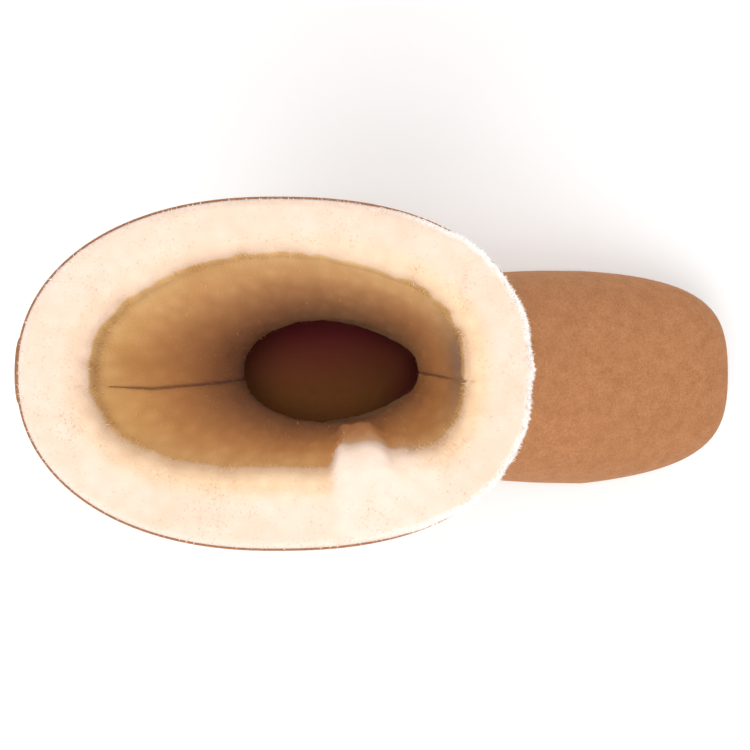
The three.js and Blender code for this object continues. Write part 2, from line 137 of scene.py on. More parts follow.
# %% The sections of the last
# top, rise, under, back, girth, swing, widest, cup, crown, and the pile's share on top, at the side, under
FOOT = [
    (1.0, 0.592, 0.73, None, 1.0, -1.0, 0.3, 4.5, 2.3, 0.0, 0.0, -0.33),
    (0.703, 0.665, 0.623, None, 0.95, -0.9, 0.3, 4.5, 2.25, 0.08, 0.0, -0.33),
    (0.469, 0.742, 0.514, None, 0.77, -0.85, 0.31, 4.3, 2.15, 0.2, 0.04, -0.33),
    (0.3125, 0.815, 0.399, None, 0.48, -0.8, 0.33, 4.0, 2.1, 0.38, 0.12, -0.33),
    (0.211, 0.885, 0.275, None, 0.24, -0.5, 0.36, 3.8, 2.1, 0.54, 0.25, -0.33),
    (0.14, 0.95, 0.152, None, 0.08, -0.25, 0.4, 3.5, 2.1, 0.7, 0.38, -0.25),
    (0.09, 1.015, 0.025, 0.16, 0.0, 0.0, 0.42, 3.0, 2.1, 0.83, 0.5, 0.08),
    (0.055, 1.085, 0.0, 0.31, 0.0, 0.0, 0.45, 2.6, 2.1, 0.92, 0.62, 0.33),
    (0.031, 1.16, 0.009, 0.49, 0.0, 0.0, 0.47, 2.4, 2.1, 1.0, 0.75, 0.6),
]
# front, rear, lean, flare, shift, cup, crown, and the pile's share in front, at the side and behind
SHAFT = [
    (0.17, -0.205, 0.24, 0.0, 0.0, 2.3, 2.15, 1.0, 0.9, 0.88),
    (0.246, -0.06, 0.04, 0.0, 0.0, 2.2, 2.2, 1.0, 0.93, 1.03),
    (0.35, 0.1, 0.0, 0.12, 0.0, 2.15, 2.2, 1.0, 0.94, 1.07),
    (0.49, 0.35, 0.16, 0.34, -0.05, 2.1, 2.25, 0.99, 0.94, 1.07),
    (0.69, 0.625, 0.5, 0.66, -0.1, 2.05, 2.3, 0.985, 0.96, 1.04),
    (1.0, 1.0, 1.0, 1.0, -0.25, 2.2, 2.4, 0.985, 1.0, 1.015),
]
# Each line becomes one row of the last, with these columns
TOP_X, TOP_Z, BACK_X, BACK_Z, HALF, SWING, WIDEST, CUP, CROWN = range(9)
FUR_TOP, FUR_SIDE, FUR_BACK, FUR_LEAN = range(9, 13)


def foot_row(row):
    top, rise, under, back, girth, swing, widest, cup, crown, fur_top, fur_side, fur_under = row
    top_x, top_z = lerp(ANKLE_BACK + ANKLE_DEPTH, BALL_X, top), THROAT_HEIGHT * rise
    back_x = BOOT_LENGTH * under
    back_z = float(sole_top(back_x)) - HIDDEN_TUCK if back is None else THROAT_HEIGHT * back
    half = lerp(HEEL_WIDTH, BALL_WIDTH, girth) / 2
    furs = [lerp(FOOT_PILE, ANKLE_PILE, share) for share in (fur_top, fur_side, fur_under)]
    return [top_x, top_z, back_x, back_z, half, BALL_SWING * swing, widest, cup, crown, *furs, 0.0]


def shaft_row(row):
    front, rear, lean, flare, shift, cup, crown, fur_front, fur_side, fur_rear = row
    pile = lerp(ANKLE_PILE, COLLAR_PILE, flare)
    top_x = lerp(ANKLE_BACK + ANKLE_DEPTH, COLLAR_LENGTH - COLLAR_OVERHANG, flare)
    back_x = lerp(ANKLE_BACK, -COLLAR_OVERHANG, lean)
    top_z, back_z = (lerp(THROAT_HEIGHT, COLLAR_HEIGHT, share) for share in (front, rear))
    half = lerp(ANKLE_WIDTH, COLLAR_WIDTH, flare) / 2
    furs = [pile * fur_front, pile * fur_side, pile * fur_rear]
    return [top_x, top_z, back_x, back_z, half, BALL_SWING * shift, 0.5, cup, crown, *furs, PILE_LEAN * flare]


ROWS = np.array([foot_row(r) for r in FOOT] + [shaft_row(r) for r in SHAFT])
LAST = len(ROWS) - 1
PADDED = np.vstack([2 * ROWS[0] - ROWS[1], ROWS, 2 * ROWS[-1] - ROWS[-2]])


def body_rows(u):
    """The sections at row numbers u, through a smooth curve down each column."""
    u = np.clip(u, 0, LAST)
    i = np.minimum(u.astype(int), LAST - 1)
    t = (u - i)[..., None]
    before, here, there, after = PADDED[i], PADDED[i + 1], PADDED[i + 2], PADDED[i + 3]
    leave, arrive, rest = (there - before) / 2, (after - here) / 2, there - here
    return here + t * (leave + t * (3 * rest - 2 * leave - arrive + t * (leave + arrive - 2 * rest)))


def toe_rows(reach):
    """The sections ahead of the ball, which close on the nose; reach is 0 at the ball and 1 at the tip."""
    start, second = ROWS[0], ROWS[1]
    length = BOOT_LENGTH - BALL_X
    slope = (second[TOP_Z] - start[TOP_Z]) / (second[TOP_X] - start[TOP_X])
    x = BALL_X + length * reach
    drop = TOE_BOX_HEIGHT - start[TOP_Z] - slope * length
    crown = start[TOP_Z] + slope * length * reach + drop * reach**2
    powers = (TOE_ROOF, TOE_UNDERCUT, TOE_SQUARENESS)
    roof, under, side = (np.maximum(0, 1 - reach**p) ** (1 / p) for p in powers)
    rows = np.repeat(start[None], reach.size, 0).reshape(*reach.shape, -1).copy()
    rows[..., TOP_X] = x
    rows[..., TOP_Z] = lerp(NOSE_HEIGHT, crown, roof)
    rows[..., BACK_X] = x
    rows[..., BACK_Z] = lerp(NOSE_HEIGHT, sole_top(x) - HIDDEN_TUCK, under)
    rows[..., HALF] = start[HALF] * (1 - TOE_TAPER * reach**1.3) * side
    rows[..., SWING] = start[SWING] * (1 - TOE_STRAIGHTENING * reach)
    rows[..., FUR_TOP:FUR_BACK] *= (1 - TOE_PILE_THINNING * reach)[..., None]
    return rows


def rows_at(u):
    """u runs from -1 at the toe's tip over 0 at the ball to LAST at the collar."""
    u = np.asarray(u, float)
    turn = np.clip(-u, 0, 1) * math.pi / 2
    along, across, n = np.sin(turn), np.cos(turn), TOE_SQUARENESS
    reach = np.minimum(1, along * (along**n + np.maximum(across, 0) ** n) ** (-1 / n))
    return np.where((u >= 0)[..., None], body_rows(np.maximum(u, 0)), toe_rows(reach))


def skin_points(u, turn):
    """Points on the suede's face. turn goes round the section from the medial side over the instep."""
    s = rows_at(u)
    across, up = np.cos(turn), np.sin(turn)
    power = np.where(up >= 0, s[..., CROWN], s[..., CUP])
    radius = (np.abs(across) ** power + np.abs(up) ** power) ** (-1 / power)
    share = s[..., WIDEST] + np.where(up >= 0, 1 - s[..., WIDEST], s[..., WIDEST]) * up * radius
    x = lerp(s[..., BACK_X], s[..., TOP_X], share)
    y = s[..., SWING] + s[..., HALF] * across * radius
    z = lerp(s[..., BACK_Z], s[..., TOP_Z], share)
    return np.stack([x, y, z], -1)


def outward(u, turn, step=0.01):
    """The face's outward direction, level at the collar so that every layer ends at one height."""
    along = skin_points(np.minimum(u + step, LAST), turn) - skin_points(np.maximum(u - step, -1), turn)
    around = skin_points(u, turn + step) - skin_points(u, turn - step)
    normal = np.cross(along, around)
    normal[..., 2] *= np.clip(LAST - u, 0, 1)
    normal[u <= -0.999] = (1, 0, 0)
    return normal / np.linalg.norm(normal, axis=-1, keepdims=True)


def pile(u, turn):
    """How deep the fleece is."""
    s = rows_at(u)
    across, up = np.cos(turn), np.sin(turn)
    end = smoothstep(np.abs(up), 0, 1)
    side = s[..., FUR_SIDE] - s[..., FUR_LEAN] * across
    return lerp(side, np.where(up >= 0, s[..., FUR_TOP], s[..., FUR_BACK]), end)


collar_line = skin_points(np.full(90, LAST), np.linspace(0, 2 * math.pi, 90))
print("sections:", len(ROWS), "collar span:", np.ptp(collar_line, 0).round(1))

# %% [markdown]
# ## From numbers to meshes
# Every soft piece here is a sheet laid over the last at some depth, so one helper turns a grid of points
# into a mesh. Numbers that change over a sheet, such as how far down the shaft a point lies, ride along as
# attributes that the materials read. Grids are the plain way to do this: they stay smooth at any density,
# and they keep an exact size.

# %% Grids, shift and smooth noise
skin_low, skin_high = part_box("upper")
SHIFT = np.array([skin_high[0] * 1000 - BOOT_LENGTH, (skin_low[1] + skin_high[1]) * 500 + BALL_SWING, 0.0])


def to_frame(points):
    return (np.asarray(points, float) + SHIFT) / 1000


def hashed(i, j, k, seed):
    n = (i * 73856093) ^ (j * 19349663) ^ (k * 83492791) ^ (seed * 2654435761)
    n = (n ^ (n >> 13)) * 1274126177
    return ((n ^ (n >> 16)) & 0xFFFFF) / float(0xFFFFF)


def noise(points, size, seed=1):
    """Smooth noise from 0 to 1 whose lumps are about size millimetres across."""
    p = np.asarray(points, float) / size + 1000.0
    cell = np.floor(p).astype(np.int64)
    f = p - cell
    f = f * f * (3 - 2 * f)
    total = np.zeros(p.shape[:-1])
    for corner in np.ndindex(2, 2, 2):
        weight = np.prod(np.where(np.array(corner) == 1, f, 1 - f), -1)
        total += weight * hashed(*(cell[..., k] + corner[k] for k in range(3)), seed)
    return total


def grid_faces(rows, columns, wrap, start=0):
    i, j = np.meshgrid(np.arange(rows - 1), np.arange(columns if wrap else columns - 1), indexing="ij")
    k = (j + 1) % columns
    quads = np.stack([i * columns + j, i * columns + k, (i + 1) * columns + k, (i + 1) * columns + j], -1)
    return quads.reshape(-1, 4) + start


def make_piece(name, points, faces, material, attributes=()):
    """A mesh from millimetre points; faces is a list of arrays of corners, one array for each face size."""
    faces = [f for f in faces if len(f)]
    mesh = bpy.data.meshes.new(name)
    mesh.vertices.add(len(points))
    mesh.vertices.foreach_set("co", to_frame(points).astype(np.float32).ravel())
    sizes = np.concatenate([np.full(len(f), f.shape[1]) for f in faces])
    mesh.loops.add(int(sizes.sum()))
    mesh.loops.foreach_set("vertex_index", np.concatenate([f.ravel() for f in faces]).astype(np.int32))
    mesh.polygons.add(len(sizes))
    mesh.polygons.foreach_set("loop_start", np.concatenate([[0], np.cumsum(sizes)[:-1]]).astype(np.int32))
    mesh.polygons.foreach_set("loop_total", sizes.astype(np.int32))
    mesh.update(calc_edges=True)
    mesh.validate()
    mesh.polygons.foreach_set("use_smooth", np.full(len(mesh.polygons), True))
    for key, values in dict(attributes).items():
        channel = mesh.attributes.new(key, "FLOAT", "POINT")
        channel.data.foreach_set("value", np.asarray(values, np.float32).ravel())
    mesh.materials.append(material)
    piece = bpy.data.objects.new(name, mesh)
    bpy.context.scene.collection.objects.link(piece)
    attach(piece, "root")
    print(f"{name}: {len(points)} points, {int((sizes - 2).sum())} triangles")
    return piece


def joined_grids(sheets, wrap):
    """One mesh from several sheets of points."""
    faces, start = [], 0
    for sheet in sheets:
        faces.append(grid_faces(sheet.shape[0], sheet.shape[1], wrap, start))
        start += sheet.shape[0] * sheet.shape[1]
    return np.concatenate([sheet.reshape(-1, 3) for sheet in sheets]), faces


print("shift into the frame, in mm:", SHIFT.round(2))

# %% [markdown]
# ## Shared effects for the materials
# Suede and wool both owe their look to small things: a nap that lies one way here and another there, and
# wool that gathers in soft clumps. The suedes, the rubber and the thread share the nap, and the lining and
# the footbed share the wool, so each effect is a node group that puts out masks only, and every material
# mixes its own colours from them. Painted textures would show the same, but nodes keep their scale on any
# size of mesh.

# %% Node helpers
def add_node(tree, kind, **settings):
    node = tree.nodes.new(kind)
    for key, value in settings.items():
        setattr(node, key, value)
    return node


def feed(tree, values):
    """Gives each socket its value: a number, a colour as a tuple, or another node's output."""
    for socket, value in values:
        if isinstance(value, bpy.types.NodeSocket):
            tree.links.new(value, socket)
        else:
            socket.default_value = value


def feed_named(tree, node, values):
    """The same for the sockets of one node, by their names."""
    feed(tree, [(node.inputs[title], value) for title, value in values.items()])


def scaled_noise(tree, coordinate, scale, detail, roughness):
    texture = add_node(tree, "ShaderNodeTexNoise")
    values = {"Vector": coordinate, "Scale": scale, "Detail": detail, "Roughness": roughness}
    feed_named(tree, texture, values)
    return texture.outputs["Fac"]


def stretched(tree, value, low, high):
    """A mask stretched so that low becomes 0 and high becomes 1."""
    node = add_node(tree, "ShaderNodeMapRange", clamp=True)
    feed_named(tree, node, {"Value": value, "From Min": low, "From Max": high})
    return node.outputs["Result"]


def maths(tree, operation, *values):
    node = add_node(tree, "ShaderNodeMath", operation=operation)
    feed(tree, zip(node.inputs, values))
    return node.outputs[0]


def weighed(tree, first, share, second):
    """Two masks added up, the first by its share and the second by the rest."""
    parts = (maths(tree, "MULTIPLY", first, share), maths(tree, "MULTIPLY", second, 1 - share))
    return maths(tree, "ADD", *parts)


def mixed(tree, mask, first, second):
    """Two colours or sockets mixed by a mask."""
    node = add_node(tree, "ShaderNodeMix", data_type="RGBA")
    feed(tree, [(node.inputs["Factor"], mask), (node.inputs[6], first), (node.inputs[7], second)])
    return node.outputs[2]


def new_group(name, size_title, size, outputs):
    """An effect with one size to set, and the masks that it puts out."""
    group = bpy.data.node_groups.new(name, "ShaderNodeTree")
    socket = group.interface.new_socket(size_title, in_out="INPUT", socket_type="NodeSocketFloat")
    socket.default_value = size
    for title in outputs:
        group.interface.new_socket(title, in_out="OUTPUT", socket_type="NodeSocketFloat")
    return group, add_node(group, "NodeGroupInput").outputs[size_title]


def put_out(group, masks):
    """Ends an effect: each mask is stretched between two values on its way out."""
    out = add_node(group, "NodeGroupOutput")
    feed_named(group, out, {title: stretched(group, *mask) for title, mask in masks.items()})
    print("shared effect:", group.name, list(masks))


# %% Soft nap, for suede, rubber and thread
nap, grain_size = new_group("Soft nap", "Grain size", 900.0, ["Grain", "Brushed", "Worn"])
where = add_node(nap, "ShaderNodeTexCoord").outputs["Object"]
put_out(nap, {
    "Grain": (scaled_noise(nap, where, grain_size, 3, 0.7), 0.3, 0.72),
    "Brushed": (scaled_noise(nap, where, 160, 3, 0.6), 0.3, 0.7),
    "Worn": (scaled_noise(nap, where, 22, 4, 0.62), 0.34, 0.68),
})

# %% Clumped wool, for the lining and the footbed
wool, clump_size = new_group("Clumped wool", "Clump size", 260.0, ["Clump", "Strand", "Patch"])
drawn_out = add_node(wool, "ShaderNodeVectorMath", operation="MULTIPLY")
feed(wool, zip(drawn_out.inputs, (add_node(wool, "ShaderNodeTexCoord").outputs["Object"], (1, 1, 0.15))))
where = drawn_out.outputs["Vector"]
clump = add_node(wool, "ShaderNodeTexVoronoi", feature="SMOOTH_F1")
feed_named(wool, clump, {"Vector": where, "Scale": clump_size, "Smoothness": 0.7})
put_out(wool, {
    "Clump": (clump.outputs["Distance"], 0.1, 0.75),
    "Strand": (scaled_noise(wool, where, 1300, 3, 0.7), 0.3, 0.7),
    "Patch": (scaled_noise(wool, where, 45, 3, 0.55), 0.32, 0.68),
})

# %% [markdown]
# ## Suede
# The outside is the flesh side of the hide, buffed to a short nap. It has no gloss: the light catches the
# tips of the fibres, so the colour is flecked close up and drifts in soft brush marks further off. Short
# hair would show that too, but from half a metre it would only cost time. A Principled shader with full
# roughness and a little sheen is enough, with flecks from the soft nap, and the skin's cut edge gets a
# greyer brown by a number that the mesh carries.

# %% Suede material
def colour_of(red, green, blue):
    """A colour as seen, 0 to 255, turned into the linear light that Blender mixes."""
    share = np.array([red, green, blue]) / 255
    linear = np.where(share <= 0.04045, share / 12.92, ((share + 0.055) / 1.055) ** 2.4)
    return (*map(float, linear), 1.0)


def material_with(name, group, size):
    """A material with one shared effect in it, set to its own size."""
    material = bpy.data.materials.new(name)
    material.use_nodes = True
    tree = material.node_tree
    effect = add_node(tree, "ShaderNodeGroup", node_tree=group)
    effect.inputs[0].default_value = size
    print("material:", name)
    return material, tree, tree.nodes["Principled BSDF"], effect.outputs


def bump(tree, height, strength, distance):
    node = add_node(tree, "ShaderNodeBump")
    feed_named(tree, node, {"Height": height, "Strength": strength, "Distance": distance})
    return node.outputs["Normal"]


def mark(tree, key):
    """A number that the mesh carries."""
    return add_node(tree, "ShaderNodeAttribute", attribute_name=key).outputs["Fac"]


def suede_material(name, light, dark, rubbed):
    material, tree, shader, masks = material_with(name, nap, 900.0)
    fleck = weighed(tree, masks["Grain"], 0.62, masks["Brushed"])
    face = mixed(tree, maths(tree, "MULTIPLY", masks["Worn"], 0.3), mixed(tree, fleck, dark, light), rubbed)
    feed_named(tree, shader, {
        "Base Color": mixed(tree, mark(tree, "edge"), face, colour_of(124, 88, 72)),
        "Roughness": 0.95,
        "Specular IOR Level": 0.15,
        "Sheen Weight": 0.25,
        "Sheen Roughness": 0.5,
        "Sheen Tint": colour_of(235, 190, 150),
        "Normal": bump(tree, fleck, 0.55, 0.0004),
    })
    return material


suede = suede_material(
    "chestnut_suede", colour_of(201, 141, 98), colour_of(155, 101, 62), colour_of(182, 124, 82)
)
overlay_suede = suede_material(
    "overlay_suede", colour_of(190, 130, 88), colour_of(143, 91, 55), colour_of(170, 113, 74)
)

# %% [markdown]
# ## Fleece
# The wool is cut level at the collar, so its tips show there as a pale cream ring. Down the shaft the eye
# looks along the sides of the fibres, whose tan is partly their own colour and partly painted shade, and
# which darken into painted brown shade. One shader covers both, because every point carries six numbers:
# how far it has left the cut face (sunk), how deep down the shaft it lies, for the painted brown shade
# (depth), whether it is below the ankle's narrowest ring, where dark shade is painted (under), how much
# painted shadow lies under the rim (line), how white the outermost tips are, with a little painted light
# on the tuft's top (white), and how far to the side the nearest inner seam runs (beside). Hair particles
# would also do it, but modelled locks export with the mesh.

# %% Fleece material
WOOL_KEYS = ("sunk", "depth", "under", "line", "white", "beside")
# white of the outermost tips, and the brown of the painted shadow under the rim and of the dark inner seams
WHITE_TIPS, RIM_SHADOW_AND_SEAM_BROWN = colour_of(254, 252, 250), colour_of(112, 64, 28)


def fleece_material(name, size, tips, tips_shade, wall, wall_shade, brown, deep):
    material, tree, shader, masks = material_with(name, wool, size)
    sunk, depth, under, line, white, beside = (mark(tree, key) for key in WOOL_KEYS)
    soft = weighed(tree, masks["Clump"], 0.5, masks["Patch"])
    cut_face = mixed(tree, white, mixed(tree, soft, tips, tips_shade), WHITE_TIPS)
    # the wall's tan is partly the wool's own colour and partly painted shade; it goes to painted brown shade
    # with depth and to painted dark shade below the ankle's narrowest ring
    side_face = mixed(tree, under, mixed(tree, depth, mixed(tree, soft, wall, wall_shade), brown), deep)
    seam = maths(tree, "MULTIPLY", stretched(tree, maths(tree, "ABSOLUTE", beside), 0.85, 0.15), 0.75)
    # the painted shadow under the rim or a dark inner seam, whichever is stronger
    shade = maths(tree, "MAXIMUM", line, seam)
    height = maths(tree, "SUBTRACT", maths(tree, "MULTIPLY", masks["Strand"], 0.35), masks["Clump"])
    feed_named(tree, shader, {
        "Base Color": mixed(tree, shade, mixed(tree, sunk, cut_face, side_face), RIM_SHADOW_AND_SEAM_BROWN),
        "Roughness": 1.0,
        "Specular IOR Level": 0.05,
        "Sheen Weight": 0.15,
        "Sheen Roughness": 0.6,
        "Normal": bump(tree, height, 0.3, 0.0008),
    })
    return material


# cream tips, the wall's tan (partly painted shade), painted brown shade deep in the shaft, painted dark shade
# below the ankle
fleece_wool = fleece_material(
    "fleece_wool", 230.0, colour_of(235, 211, 194), colour_of(227, 198, 175),
    colour_of(252, 212, 142), colour_of(224, 174, 100), colour_of(204, 146, 78), colour_of(150, 76, 50),
)

# %% [markdown]
# ## Soft folds
# A sheepskin shaft is thick and limp, and stands with a few broad folds where the ankle bends. A cloth
# simulation would make folds of its own, but not at the heights that a maker chooses. Here they are placed
# one by one: each is a soft trough that runs from a height in front to a height behind, with the leather
# pushed out a little above and below it. The same function moves the suede, its overlays and its stitches,
# so nothing parts.

# %% Folds in the ankle
# height in front, height behind, depth, width, middle of its reach round the boot in degrees, and that reach
FOLDS = [
    (131, 116, 2.1, 7.5, 90, 110),
    (152, 130, 1.6, 7.0, 55, 65),
    (148, 126, 1.8, 7.0, 138, 60),
    (124, 102, 1.6, 6.5, 215, 60),
    (126, 106, 1.4, 6.5, 325, 55),
    (176, 143, 1.2, 8.0, 205, 60),
    (180, 150, 1.1, 9.0, 345, 60),
    (238, 212, 1.2, 13.0, 20, 70),
    (254, 224, 1.1, 14.0, 190, 75),
    (200, 180, 1.0, 11.0, 165, 60),
]


def fold(u, turn, points):
    """How far the suede stands out (+) or sinks (-) at each point, in millimetres."""
    s = rows_at(u)
    back = s[..., BACK_X]
    share = np.clip((points[..., 0] - back) / np.maximum(s[..., TOP_X] - back, 1), 0, 1)
    total = np.zeros(points.shape[:-1])
    for front, behind, depth, width, middle, reach in FOLDS:
        away = (points[..., 2] - lerp(behind, front, share)) / width
        turned = np.abs((np.degrees(turn) - middle + 180) % 360 - 180) / reach
        fade = 1 - smoothstep(turned, 0.3, 1)
        total += depth * fade * (0.45 * np.exp(-((np.abs(away) - 1.5) ** 2)) - np.exp(-(away**2)))
    wave = noise(points, 42, 5) - 0.5
    quiet = smoothstep(points[..., 2], 60, 120) * (1 - smoothstep(points[..., 2], 285, 318))
    return total + 1.2 * wave * quiet


def layer(u, turn, depth, folded=True):
    """Points a depth inside the suede's face, or outside it where the depth is negative."""
    u, turn = np.broadcast_arrays(np.asarray(u, float), np.asarray(turn, float))
    points = skin_points(u, turn)
    push = fold(u, turn, points) if folded else 0
    return points + outward(u, turn) * (push - depth)[..., None]


print("folds:", len(FOLDS), "the deepest", max(row[2] for row in FOLDS), "mm")

# %% [markdown]
# ## The upper
# The upper is one hollow shell of hide: an outer face, a thin edge at the collar and an inner face. A
# single sheet with a Solidify modifier would look the same, but here the inner face has its own coarser
# rows, because only its top shows. It is a grid over the last, with extra rings in the toe. What falls
# below the sole's top is pulled up to it and taken away, so the shell is open underneath where the sole
# closes it.

# %% The suede upper
UPPER_COLUMNS, EDGE_RISE = 168, 0.15


def around(count):
    return np.linspace(0, 2 * math.pi, count, endpoint=False)


def shell_rows(toe, per_section):
    toe_rings = np.linspace(-1, 0, toe, endpoint=False)
    return np.concatenate([toe_rings, np.linspace(0, LAST, LAST * per_section + 1)])


def open_underneath(points, faces, lift=GAP):
    """Pulls what is below the sole's top up to it and drops the faces that lie there."""
    floor = sole_top(points[:, 0]) + lift
    below = points[:, 2] < floor
    points[:, 2] = np.maximum(points[:, 2], floor)
    return points, [f[~below[f].all(1)] for f in faces]


def sheet_over_last(rows, depth):
    u, turn = np.meshgrid(rows, around(UPPER_COLUMNS), indexing="ij")
    return layer(u, turn, np.full(u.shape, float(depth)))


outer = sheet_over_last(shell_rows(30, 13), 0.0)
edge = sheet_over_last(np.array([LAST]), SKIN / 2) + (0, 0, EDGE_RISE)
inner = sheet_over_last(shell_rows(12, 6)[::-1], SKIN)
stack = np.concatenate([outer, edge, inner])
points, faces = open_underneath(stack.reshape(-1, 3), [grid_faces(len(stack), UPPER_COLUMNS, True)])
edge_mark = np.repeat(np.isin(np.arange(len(stack)), (len(outer), len(outer) + 1)), UPPER_COLUMNS)
upper = make_piece("suede_upper", points, faces, suede, {"edge": edge_mark})
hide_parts("upper")

# %% [markdown]
# ## The fleece lining
# From above the fleece is what the photo is about. Its outer edge sits inside the skin, it rises a little
# proud of it, lies nearly flat across the ring and rolls over into the wall. The wall leans in to the ankle
# and carries two seams, front and back, and one loose tuft stands out of it on the lateral side. The clumps
# in the surface are real relief from smooth noise, small enough to leave the size alone. A sculpted lining
# would show the same lumps, but its ring would no longer end where the skin does.

# %% The tuft and the rolled rim
# how many rows the tuft runs down, and how far its steep side spreads
TUFT_RUN, TUFT_BEHIND = 2.6, 8.2
# at the collar and at its far end: its turn in degrees, how far it stands out and how far its front spreads
TUFT_TURNS, TUFT_STANDS, TUFT_FRONT = (158.5, 166), (6.4, 3.4), (12.5, 9.5)


def tuft(u, turn):
    """The loose ridge of wool on the lateral wall: broad at the collar, and steep behind."""
    down = np.clip((LAST - u) / TUFT_RUN, 0, 1)
    middle = np.radians(lerp(*TUFT_TURNS, down))
    points = skin_points(u, turn)
    ridge = skin_points(u, np.broadcast_to(middle, np.shape(u)))
    away = (points - ridge)[..., 0] + 1.6 * (noise(points * (1, 1, 0.15), 3.2, 9) - 0.5)
    flank = np.exp(-((away / np.where(away < 0, TUFT_BEHIND, lerp(*TUFT_FRONT, down))) ** 6))
    flank = flank + 0.4 * (1 - down) * np.exp(-(((away - 18) / 7) ** 2))
    return lerp(*TUFT_STANDS, down) * (1 - smoothstep(down, 0.75, 1)) * flank * (points[..., 1] < 0)


def on_tuft(u, turn, full=4):
    """A mask of the tuft, 1 wherever it stands out by the full measure."""
    return np.clip(tuft(u, turn) / full, 0, 1)


def roll(z):
    """How far the wall has drawn back from the full pile where it rolls over into the ring."""
    climb = np.clip((z - (COLLAR_HEIGHT - RIM_RADIUS)) / RIM_RADIUS, 0, 1)
    return RIM_RADIUS / 2 * (1 - np.sqrt(1 - climb**2)), climb


def ahead(turn):
    """1 along the front of the collar, where the wool spills over the skin, and 0 behind."""
    return smoothstep(np.sin(turn), 0.3, 0.75)


print("the tuft stands out", TUFT_STANDS[0], "mm at the collar and", TUFT_STANDS[1], "mm at its end")

# %% The face of the fleece
def fleece_points(u, turn, share):
    """Points of the fleece's face. share is 0 over the skin's edge, 1 on the wall, below 0 under the lip."""
    full = FUR_INSET + pile(u, turn) + tuft(u, turn)
    skin = skin_points(u, turn)
    drawn, climb = roll(skin[..., 2])
    lip = lerp(0.7, 0.0, ahead(turn)) + 1.2 * ahead(turn) * (noise(skin, 3.4, 6) - 0.5)
    under_lip = np.maximum(lip + 0.1, -1.2 * share - 2.0)
    depth = np.where(share < 0, under_lip, lerp(lip, full - drawn, share))
    points = layer(u, turn, depth, folded=False)
    height = (0.3 + 1.7 * np.sqrt(np.clip(share / 0.16, 0, 1))) * smoothstep(full - depth, 0, 8)
    points[..., 2] += np.where(share < 0, 0.35 * share + 0.15, height)
    upward, inward = climb / RIM_RADIUS, 2 * np.sqrt(1 - climb**2) / RIM_RADIUS
    facing = np.array([0, 0, 1.0]) * upward[..., None] - outward(u, turn) * inward[..., None]
    return points, facing / np.linalg.norm(facing, axis=-1, keepdims=True)


def clumps(points):
    """Relief of the wool, in millimetres either way: soft lumps, drawn out down the shaft."""
    long_lumps = points * (1, 1, 0.08)
    return 0.9 * (noise(long_lumps, 7.0, 2) - 0.5) + 0.5 * (noise(long_lumps, 2.8, 3) - 0.5)


inner_ring = fleece_points(np.full(90, float(LAST)), around(90), np.ones(90))[0]
print("opening inside the ring:", np.ptp(inner_ring, 0)[:2].round(1), "mm")

# %% The inner seams and the ankle's narrowest ring
# heights, and how far to the side each inner seam runs there
SEAM_BEHIND = (140, 270, 320), (-3.4, -5.5, -4.3)
SEAM_IN_FRONT = (140, 320), (-0.3, -3.0)
# what counts as far from any seam
FAR_AWAY = 90.0
# where the photo was taken from, and the slope at which the dark opening's middle lies behind that place
EYE, OPENING_BEHIND = (89.0, 0.0, 708.0), 0.02


def beside_seam(points, turn):
    """Sideways distance to the inner seam behind or in front, which grows where the seam fades out."""
    behind = np.sin(turn) < 0
    z = points[..., 2]
    middle = np.where(behind, np.interp(z, *SEAM_BEHIND), np.interp(z, *SEAM_IN_FRONT))
    fade = np.where(behind, smoothstep(316 - z, 0, 40), smoothstep(COLLAR_HEIGHT - 2 - z, 0, 4))
    return np.clip((points[..., 1] - middle) / np.maximum(fade, 0.02), -FAR_AWAY, FAR_AWAY)


def neck_height(turn):
    """Height of the narrowest ring of the ankle, as the eye finds it from above."""
    place, u = np.meshgrid(turn, np.linspace(13, 7, 160))
    points, _ = fleece_points(u, place, np.ones(u.shape))
    drop = EYE[2] - points[..., 2]
    away = np.hypot((points[..., 0] - EYE[0]) / drop + OPENING_BEHIND, points[..., 1] / drop)
    return np.take_along_axis(points[..., 2], np.argmin(away, 0)[None], 0)[0]


NECK_TURNS = np.linspace(0, 2 * math.pi, 181)
NECK = neck_height(NECK_TURNS)
print("the ankle's narrowest ring lies from", round(NECK.min()), "to", round(NECK.max()), "mm up")

# %% Where the wool changes colour
def sides(turn):
    """How much a place faces the medial and the lateral side, each from 0 to 1."""
    return np.maximum(0, np.cos(turn)), np.maximum(0, -np.cos(turn))


def above_neck(z, turn):
    """How far a height lies above the ankle's narrowest ring there."""
    return z - np.interp(turn % (2 * math.pi), NECK_TURNS, NECK)


def tuft_top(u, turn):
    return on_tuft(u, turn) * smoothstep(u, LAST - 0.3, LAST - 0.07)


def sunken(points, u, turn):
    """How far the wool has left the cut face: a crisp ragged edge, but a soft one on the lateral side."""
    ragged = 1.5 * (noise(points, 3.0, 7) - 0.5) + 1.0 * (noise(points, 9.0, 8) - 0.5)
    below = COLLAR_HEIGHT - points[..., 2] + ragged
    lateral = sides(turn)[1]
    low, high = 2.3 - 1.6 * lateral, 4.0 + 4.5 * lateral
    return smoothstep((below - low) / (high - low), 0, 1) * (1 - 0.9 * tuft_top(u, turn))


def painted_rim_shadow(below, left, turn):
    """Painted shadow just under the rim, with a broader painted shade on the wall in front."""
    medial, lateral = sides(turn)
    under_rim = (0.42 - 0.2 * medial - 0.38 * lateral) * left * (1 - smoothstep(below, 6, 14))
    in_front = np.exp(-(((np.degrees(turn) - 84) / 28) ** 2))
    return np.maximum(under_rim, 0.78 * in_front * smoothstep(below, 2, 9) * (1 - smoothstep(below, 14, 85)))


